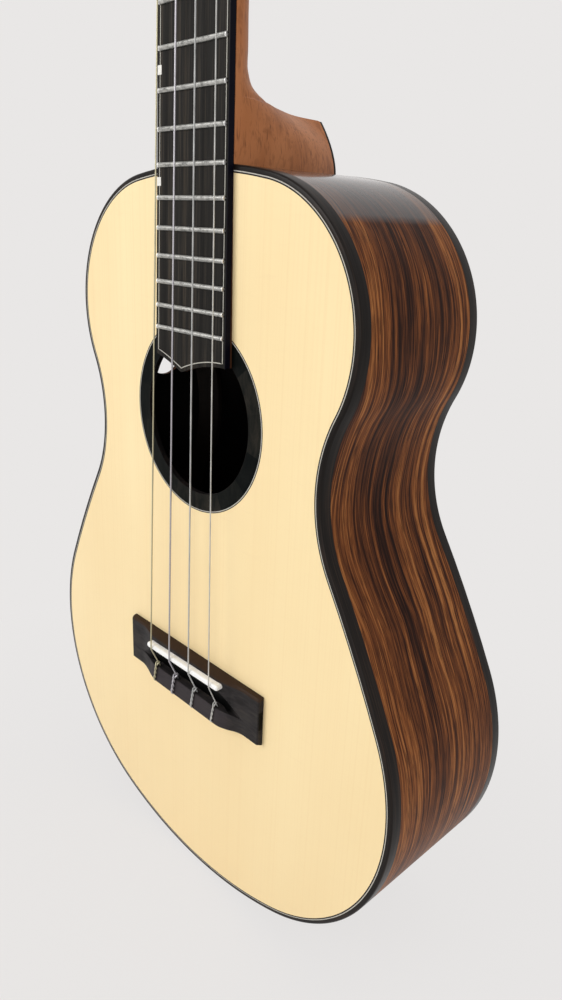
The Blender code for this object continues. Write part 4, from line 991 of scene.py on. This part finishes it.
def join(target, other):
    """Moves another piece's mesh into a target piece."""
    build = bmesh.new()
    build.from_mesh(target.data)
    build.from_mesh(other.data)
    build.to_mesh(target.data)
    build.free()
    bpy.data.objects.remove(other)


def add_neck():
    """The neck with its heel and headstock, and the headstock's dark face."""
    loop = head_loop()
    rings = []
    front_edge = [(HEAD_EDGE, 0), (0, HEAD_EDGE)]
    rear_edge = [(0, HEAD_THICKNESS - HEAD_EDGE), (HEAD_EDGE, HEAD_THICKNESS)]
    for inset, y in front_edge + rear_edge:
        rings.append([(x, y, z) for x, z in offset_loop(loop, inset)])
    bores = []
    for number in range(1, 5):
        post_x, post_z, _ = post_place(number)
        profile = ((POST_RADIUS + GAP, -HEAD_THICKNESS), (POST_RADIUS + GAP, 2 * HEAD_THICKNESS))
        bores.append(turned(profile, 32, (post_x, 0, post_z)))
    bore_vertices, bore_faces = merged(bores)
    bore_vertices = in_head(bore_vertices)
    neck = make_piece("neck_wood", *loft(neck_rings()), "mahogany", "mahogany")
    head = make_piece("headstock", *loft(rings), "mahogany", "mahogany", on_head=True)
    cut(head, bore_vertices, bore_faces)
    join(neck, head)
    shade(neck.data, 30.0)
    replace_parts(neck, "neck")
    front = [(x, -LIFT, z) for x, z in offset_loop(loop, HEAD_EDGE)]
    rear = [(x, LIFT, z) for x, _, z in front]
    face = make_piece("headstock_face", *loft([front, rear]), "ebony", "ebony", on_head=True)
    cut(face, bore_vertices, bore_faces)
    right = [(heel_cap_half(z), z) for z in heel_heights()[:-1]]
    right[0] = (right[0][0], body_top(right[0][0]))
    cap_loop = right + [(0.0, JOINT_Z + HEEL_HEIGHT)] + [(-x, z) for x, z in reversed(right)]
    rings = []
    for lift in (0.0, GAP + HEEL_CAP_THICKNESS):
        rings.append([(x, heel_rear(z) + lift, z) for x, z in cap_loop])
    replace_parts(make_piece("heel_cap_plate", *loft(rings), "ebony", "ebony"), "heel_cap")


def strip_on_board(name, path, width, material, slot, lift=LIFT):
    """A thin inlaid strip along (x, z) points of the fretboard's face."""
    rings = []
    for index, (x, z) in enumerate(path):
        before, after = path[max(index - 1, 0)], path[min(index + 1, len(path) - 1)]
        along = Vector((after[0] - before[0], after[1] - before[1])).normalized()
        across = Vector((-along.y, along.x)) * width / 2
        ring = []
        for side, depth in ((-1, -lift), (1, -lift), (1, lift), (-1, lift)):
            px, pz = x + side * across.x, z + side * across.y
            ring.append((px, board_top(pz) + depth, pz))
        rings.append(ring)
    make_piece(name, *loft(rings), material, slot)


def board_end(inset):
    """(x, z) points of the board's end curve, this far inside the board, from bass to treble."""
    half = board_half(BOARD_END_Z) - inset
    points = []
    for step in range(13):
        share = step / 12
        x = -half + (BOARD_TIP_X + half) * share
        points.append((x, BOARD_END_Z + inset - BOARD_TIP_DROP * share**1.25))
    for step in range(1, 19):
        share = step / 18
        x = BOARD_TIP_X + (half - BOARD_TIP_X) * share
        points.append((x, BOARD_END_Z + inset - BOARD_TIP_DROP * (1 - share) ** 2))
    return points


def add_board_inlay():
    """The white line inside the board's edges, and the small white blocks in its bass edge."""
    top = -GAP
    half = board_half(top) - LINE_INSET
    path = [(-half, top)] + board_end(LINE_INSET) + [(half, top)]
    strip_on_board("board_inlaid_line", path, LINE_WIDTH, "white_line", "spruce")
    for fret in BLOCK_FRETS:
        middle = (fret_z(fret) + fret_z(fret - 1)) / 2
        x = -board_half(middle) + BLOCK_WIDTH / 2 + LIFT
        path = [(x, middle - BLOCK_HEIGHT / 2), (x, middle + BLOCK_HEIGHT / 2)]
        strip_on_board(f"edge_block_{fret}", path, BLOCK_WIDTH, "bone", "bone", 2 * LIFT)


def saddle_z(x):
    """Height of the saddle's middle line, which slants to lengthen the bass strings."""
    return SADDLE_Z - SADDLE_SETBACK + SADDLE_SLANT * x / SADDLE_LENGTH


def bridge_section(core):
    """(distance below the saddle line, height) points across the bridge: 1 is its core, 0 its wings."""
    saddle_rear = SADDLE_SETBACK + SADDLE_THICKNESS
    tip, rear = CHANNEL_TIP, BRIDGE_WING_REAR
    low, high, block = BRIDGE_WING_HEIGHT, BRIDGE_HEIGHT, TIE_BLOCK_HEIGHT
    pairs = (
        ((-BRIDGE_FRONT, GAP), (-BRIDGE_FRONT, GAP)),
        ((-BRIDGE_FRONT + GAP, 0.6 * high), (-BRIDGE_FRONT + GAP, 0.8 * low)),
        ((-0.0006, high - 0.0003), (-0.0012, low - 0.0001)),
        ((0.0002, high), (-0.0006, low)),
        ((saddle_rear, high), (tip - 0.0016, low)),
        ((saddle_rear + 0.0006, high - 0.0006), (tip - 0.0010, low)),
        ((TIE_BLOCK_FRONT * 0.6, CHANNEL_FLOOR), (tip - 0.0004, low)),
        ((TIE_BLOCK_FRONT, CHANNEL_FLOOR), (tip, low)),
        ((TIE_BLOCK_FRONT + 0.0001, block - 0.0003), (tip + 0.0001, low)),
        ((TIE_BLOCK_FRONT + 0.0004, block), (tip + 0.0004, low)),
        ((TIE_BLOCK_REAR, block), (rear - 0.0012, low)),
        ((BRIDGE_CORE_REAR - 0.0006, block / 2), (rear - 0.0003, low / 2)),
        ((BRIDGE_CORE_REAR, GAP), (rear, GAP)),
    )
    return [tuple(w + (c - w) * core for c, w in zip(centre, wing)) for centre, wing in pairs]


def add_bridge():
    """The bridge, with a channel that narrows to a point in each wing, and the bone saddle."""
    core_half, blend_steps = BRIDGE_CORE_LENGTH / 2, 28
    half = BRIDGE_LENGTH / 2
    stations = [(half, 0.0, 0.0006), (half - 0.0006, 0.0, 0.0)]
    for step in range(blend_steps + 1):
        share = step / blend_steps
        core = (1 - math.cos(math.pi * share)) / 2
        stations.append((core_half + BRIDGE_BLEND_LENGTH * (1 - share), core, 0.0))
    stations = [(-x, core, drop) for x, core, drop in stations] + list(reversed(stations))
    rings = []
    for x, core, drop in stations:
        section = bridge_section(core)
        rings.append([(x, -max(height - drop, GAP), SADDLE_Z - below) for below, height in section])
    bridge = make_piece("bridge_wood", *loft(rings), "bridge", "ebony")
    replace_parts(bridge, "bridge")
    holes = []
    for number in range(1, 5):
        rings = []
        for below in (TIE_BLOCK_FRONT / 2, BRIDGE_CORE_REAR + 0.005):
            ring = []
            for angle in circle(18):
                x = string_x(number, SADDLE_Z) + TIE_HOLE_RADIUS * math.cos(angle)
                ring.append((x, -TIE_HOLE_HEIGHT + TIE_HOLE_RADIUS * math.sin(angle), SADDLE_Z - below))
            rings.append(ring)
        holes.append(loft(rings))
    cut(bridge, *merged(holes))
    add_saddle()


def add_saddle():
    """A bone bar with a round top and round ends."""
    half, radius = SADDLE_LENGTH / 2, SADDLE_THICKNESS / 2
    top = STRING_HEIGHT_AT_SADDLE - max(STRING_RADII) - GAP / 2
    stations = []
    for step in range(10):
        angle = math.pi / 2 * (0.08 + 0.92 * step / 9)
        stations.append((half - radius * (1 - math.sin(math.pi / 2 - angle)), radius * math.sin(angle)))
    stations = [(-x, width) for x, width in stations] + list(reversed(stations))
    sections = []
    for x, width in stations:
        middle = saddle_z(x)
        ring = [(x, -CHANNEL_FLOOR, middle - width), (x, -CHANNEL_FLOOR, middle + width)]
        for step in range(15):
            turn = math.pi * step / 14
            height = top - 0.8 * (radius - width * math.sin(turn))
            ring.append((x, -height, middle + width * math.cos(turn)))
        sections.append(ring)
    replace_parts(make_piece("saddle_bar", *loft(sections), "saddle", "bone", smooth_angle=50.0), "saddle")


def curve_piece(name, points, radius, material):
    """A round wire through these points."""
    curve = bpy.data.curves.new(name, "CURVE")
    curve.dimensions = "3D"
    curve.bevel_depth = radius
    curve.bevel_resolution = 3
    curve.use_fill_caps = True
    spline = curve.splines.new("POLY")
    spline.points.add(len(points) - 1)
    for place, point in zip(spline.points, points):
        place.co = (*point, 1.0)
    return place_piece(name, curve, material, BODY)


def coil_points(number, radius):
    """The string's windings round its post, from the inside end to where it leaves for the nut."""
    post_x, post_z, side = post_place(number)
    coil_radius = POST_RADIUS + GAP + radius
    pitch = 2 * radius + GAP
    points = []
    for step in range(COIL_STEPS + 1):
        turns = COIL_TURNS * step / COIL_STEPS
        angle = math.pi + side * 0.1 - 2 * math.pi * turns
        x = post_x + side * coil_radius * math.cos(angle)
        z = post_z + coil_radius * math.sin(angle)
        points.append(HEAD_FRAME @ Vector((x, -POST_RISE / 2 + pitch * turns, z)))
    return list(reversed(points))


def tie_points(number, radius):
    """The string's end: over the saddle, through the tie block, back over it and twisted on itself."""
    x = string_x(number, SADDLE_Z)
    crest = SADDLE_SETBACK - SADDLE_SLANT * x / SADDLE_LENGTH
    over = TIE_BLOCK_HEIGHT + 1.6 * radius
    front, rear = TIE_BLOCK_FRONT - 2 * radius, TIE_BLOCK_REAR - 0.0006
    points = [(x, STRING_HEIGHT_AT_SADDLE, crest - 0.0010), (x, STRING_HEIGHT_AT_SADDLE, crest + 0.0006)]
    points += [(x, TIE_HOLE_HEIGHT + 0.4 * radius, TIE_BLOCK_FRONT + 0.0005)]
    points += [(x, TIE_HOLE_HEIGHT, TIE_BLOCK_REAR)]
    points += [(x - TIE_LEAN / 2, TIE_HOLE_HEIGHT, TIE_BLOCK_REAR + 0.0006)]
    for phase_start, forward in ((0.0, True), (math.pi, False)):
        for step in range(TIE_STEPS + 1):
            share = step / TIE_STEPS if forward else 1 - step / TIE_STEPS
            turn = phase_start + 2 * math.pi * TIE_TURNS * share
            along = rear + (front - rear) * share
            lean = -TIE_LEAN * (1 - share)
            points.append((x + lean + radius * math.cos(turn), over + radius * math.sin(turn), along))
        if forward:
            reach = 2.2 * radius
            bend = ((reach, 1.5, 0.0012), (reach, 5, 0.0018), (-reach, 5, 0.0018), (-reach, 1.5, 0.0012))
            points += [(x + side, over - drop * radius, front - ahead) for side, drop, ahead in bend]
    return [(px, -height, SADDLE_Z - below) for px, height, below in points]


def add_strings():
    """The strings, each from its post over the nut and the saddle to its tie."""
    for number, radius in enumerate(STRING_RADII, start=1):
        nut_y = board_top(0) - STRING_HEIGHT_AT_NUT
        points = coil_points(number, radius)
        points += [(string_x(number, 0), nut_y + GAP, NUT_THICKNESS), (string_x(number, 0), nut_y, 0.0)]
        points += tie_points(number, radius)
        name = f"string_{number}"
        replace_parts(curve_piece(f"{name}_wire", points, radius, name), name)


def screw(centre, name, body):
    """A domed screw head with a slot, on a face that looks back in the headstock's frame."""
    shape = turned(SCREW_PROFILE, 24, centre)
    piece = make_piece(name, *shape, "nickel", "nickel", body, on_head=True)
    x, y, z = centre
    low = (x - SLOT_HALF_LENGTH, y + SLOT_FLOOR, z - SLOT_HALF_WIDTH)
    slot = box(low, (x + SLOT_HALF_LENGTH, y + 0.002, z + SLOT_HALF_WIDTH))
    cut(piece, in_head(slot[0]), slot[1])


def button(number, side, centre):
    """A smooth oval button over the end of a tuner key."""
    start = centre[0] + side * (HEAD_TOP_HALF + BUTTON_CLEARANCE - POST_X)
    rings = []
    for share, core_size in smooth_run(BUTTON_PROFILE, 5):
        size = core_size + BUTTON_COVER
        x = start + side * BUTTON_LENGTH * (share + BUTTON_COVER * (share - 0.5))
        ring = []
        for angle in circle(40):
            y = centre[1] + BUTTON_THICKNESS / 2 * (0.5 + 0.5 * size) * math.cos(angle)
            ring.append((x, y, centre[2] + BUTTON_WIDTH / 2 * size * math.sin(angle)))
        rings.append(ring)
    body = f"key_{number}"
    make_piece(f"tuner_button_{number}", *loft(rings), "button", "ebony", body, 40.0, True)


def add_tuner_trim():
    """Bushings round the posts, screws in the plates and gears, and the keys' buttons."""
    for number in range(1, 5):
        post_x, post_z, side = post_place(number)
        inner = POST_RADIUS + GAP / 2
        profile = ((inner, BUSHING_PROFILE[0][1]), *BUSHING_PROFILE, (inner, LIFT))
        shape = turned(profile, 48, (post_x, 0, post_z), closed=True)
        make_piece(f"post_bushing_{number}", *shape, "nickel", "nickel", on_head=True)
        for index, shift in enumerate((-PLATE_SCREW_ACROSS, PLATE_SCREW_ACROSS), start=1):
            centre = (post_x + shift, PLATE_REAR, post_z + PLATE_SCREW_UP)
            screw(centre, f"plate_screw_{number}_{index}", BODY)
        screw((post_x, GEAR_REAR + 4 * GAP, post_z), f"gear_screw_{number}", f"post_{number}")
        button(number, side, (post_x, WORM_DEPTH, post_z - GEAR_CENTRE_DISTANCE))


def seen_share(tree):
    """1 for rays that see the stage from the camera, in a reflection or through glass, else 0."""
    rays = add_node(tree, "ShaderNodeLightPath", {}).outputs
    total = rays["Is Camera Ray"]
    for name in ("Is Glossy Ray", "Is Transmission Ray"):
        total = add_node(tree, "ShaderNodeMath", {0: total, 1: rays[name]}, operation="MAXIMUM").outputs[0]
    return total


FLOOR_SIZE = 4.0
FADE_START, FADE_END = 0.06, 0.32
SHADOW_SHARE = 0.10
FLOOR_DROP = 0.0005
LIGHT_STRENGTH = 0.42


def add_floor():
    """A pale floor with a faint shadow, which fades into the backdrop."""
    floor_z = cad_bounds[0].z - FLOOR_DROP
    mesh = new_mesh("floor", *turned(((FLOOR_SIZE, floor_z - 0.01), (FLOOR_SIZE, floor_z)), 64))
    floor = bpy.data.objects.new("floor", mesh)
    floor.rotation_euler = (math.pi / 2, 0, 0)
    bpy.context.scene.collection.objects.link(floor)
    material = bpy.data.materials.new("floor")
    material.use_nodes = True
    tree = material.node_tree
    tree.nodes.clear()
    place = add_node(tree, "ShaderNodeTexCoord", {}).outputs["Object"]
    apart = add_node(tree, "ShaderNodeSeparateXYZ", {0: place}).outputs
    level = add_node(tree, "ShaderNodeCombineXYZ", {0: apart[0], 1: apart[2]}).outputs[0]
    distance = add_node(tree, "ShaderNodeVectorMath", {0: level}, operation="LENGTH").outputs["Value"]
    values = {"Value": distance, "From Min": FADE_START, "From Max": FADE_END, "To Min": 1 - SHADOW_SHARE}
    fade = add_node(tree, "ShaderNodeMapRange", values).outputs["Result"]
    share = add_node(tree, "ShaderNodeMath", {0: fade, 1: seen_share(tree)}, operation="MULTIPLY").outputs[0]
    lit = add_node(tree, "ShaderNodeBsdfDiffuse", {"Color": PALE}).outputs[0]
    flat = add_node(tree, "ShaderNodeEmission", {"Color": PALE}).outputs[0]
    mixed = add_node(tree, "ShaderNodeMixShader", {0: share, 1: lit, 2: flat}).outputs[0]
    add_node(tree, "ShaderNodeOutputMaterial", {"Surface": mixed})
    mesh.materials.append(material)


def add_world():
    """A pale backdrop, and an even light from all round."""
    world = bpy.data.worlds.new("studio")
    bpy.context.scene.world = world
    world.use_nodes = True
    tree = world.node_tree
    tree.nodes.clear()
    backdrop = add_node(tree, "ShaderNodeBackground", {"Color": PALE}).outputs[0]
    values = {"Color": (1.0, 1.0, 1.0, 1.0), "Strength": LIGHT_STRENGTH}
    light = add_node(tree, "ShaderNodeBackground", values).outputs[0]
    mixed = add_node(tree, "ShaderNodeMixShader", {0: seen_share(tree), 1: light, 2: backdrop}).outputs[0]
    add_node(tree, "ShaderNodeOutputWorld", {"Surface": mixed})


LAMPS = (
    ("key", (-0.75, -1.5, 0.35), 1.1, 17.0),
    ("fill", (1.1, -1.1, -0.1), 1.0, 5.0),
    ("top", (0.2, 0.2, 1.5), 1.2, 6.0),
)
LIT_POINT = Vector((0.0, 0.02, -0.42))


def add_lamps():
    for name, place, size, power in LAMPS:
        lamp = bpy.data.lights.new(name, "AREA")
        lamp.size = size
        lamp.energy = power
        obj = bpy.data.objects.new(name, lamp)
        obj.location = place
        obj.rotation_euler = (LIT_POINT - Vector(place)).to_track_quat("-Z", "Y").to_euler()
        bpy.context.scene.collection.objects.link(obj)


def add_camera():
    """A camera where the photograph's stood, turned by yaw, pitch and roll."""
    yaw, pitch, roll = map(math.radians, (CAMERA_YAW, CAMERA_PITCH, CAMERA_ROLL))
    ahead = Vector((math.sin(yaw) * math.cos(pitch), math.cos(yaw) * math.cos(pitch), math.sin(pitch)))
    level_right = Vector((math.cos(yaw), -math.sin(yaw), 0.0))
    level_up = level_right.cross(ahead)
    right = math.cos(roll) * level_right + math.sin(roll) * level_up
    up = math.cos(roll) * level_up - math.sin(roll) * level_right
    data = bpy.data.cameras.new("camera")
    data.sensor_width = SENSOR
    data.lens = FOCAL_PIXELS / FRAME_HEIGHT * SENSOR
    data.shift_x = -CENTRE_RIGHT / FRAME_HEIGHT
    data.shift_y = CENTRE_DOWN / FRAME_HEIGHT
    data.clip_start = 0.01
    camera = bpy.data.objects.new("camera", data)
    turn = Matrix((right, up, -ahead)).transposed().to_4x4()
    camera.matrix_world = Matrix.Translation(CAMERA_PLACE) @ turn
    bpy.context.scene.collection.objects.link(camera)
    bpy.context.scene.camera = camera


bpy.context.scene.view_settings.view_transform = "Standard"
dress_nodes()
add_soundboard()
add_edges()
add_sides()
add_back_strip()
add_neck()
add_board_inlay()
add_bridge()
add_strings()
add_tuner_trim()
add_world()
add_floor()
add_lamps()
add_camera()
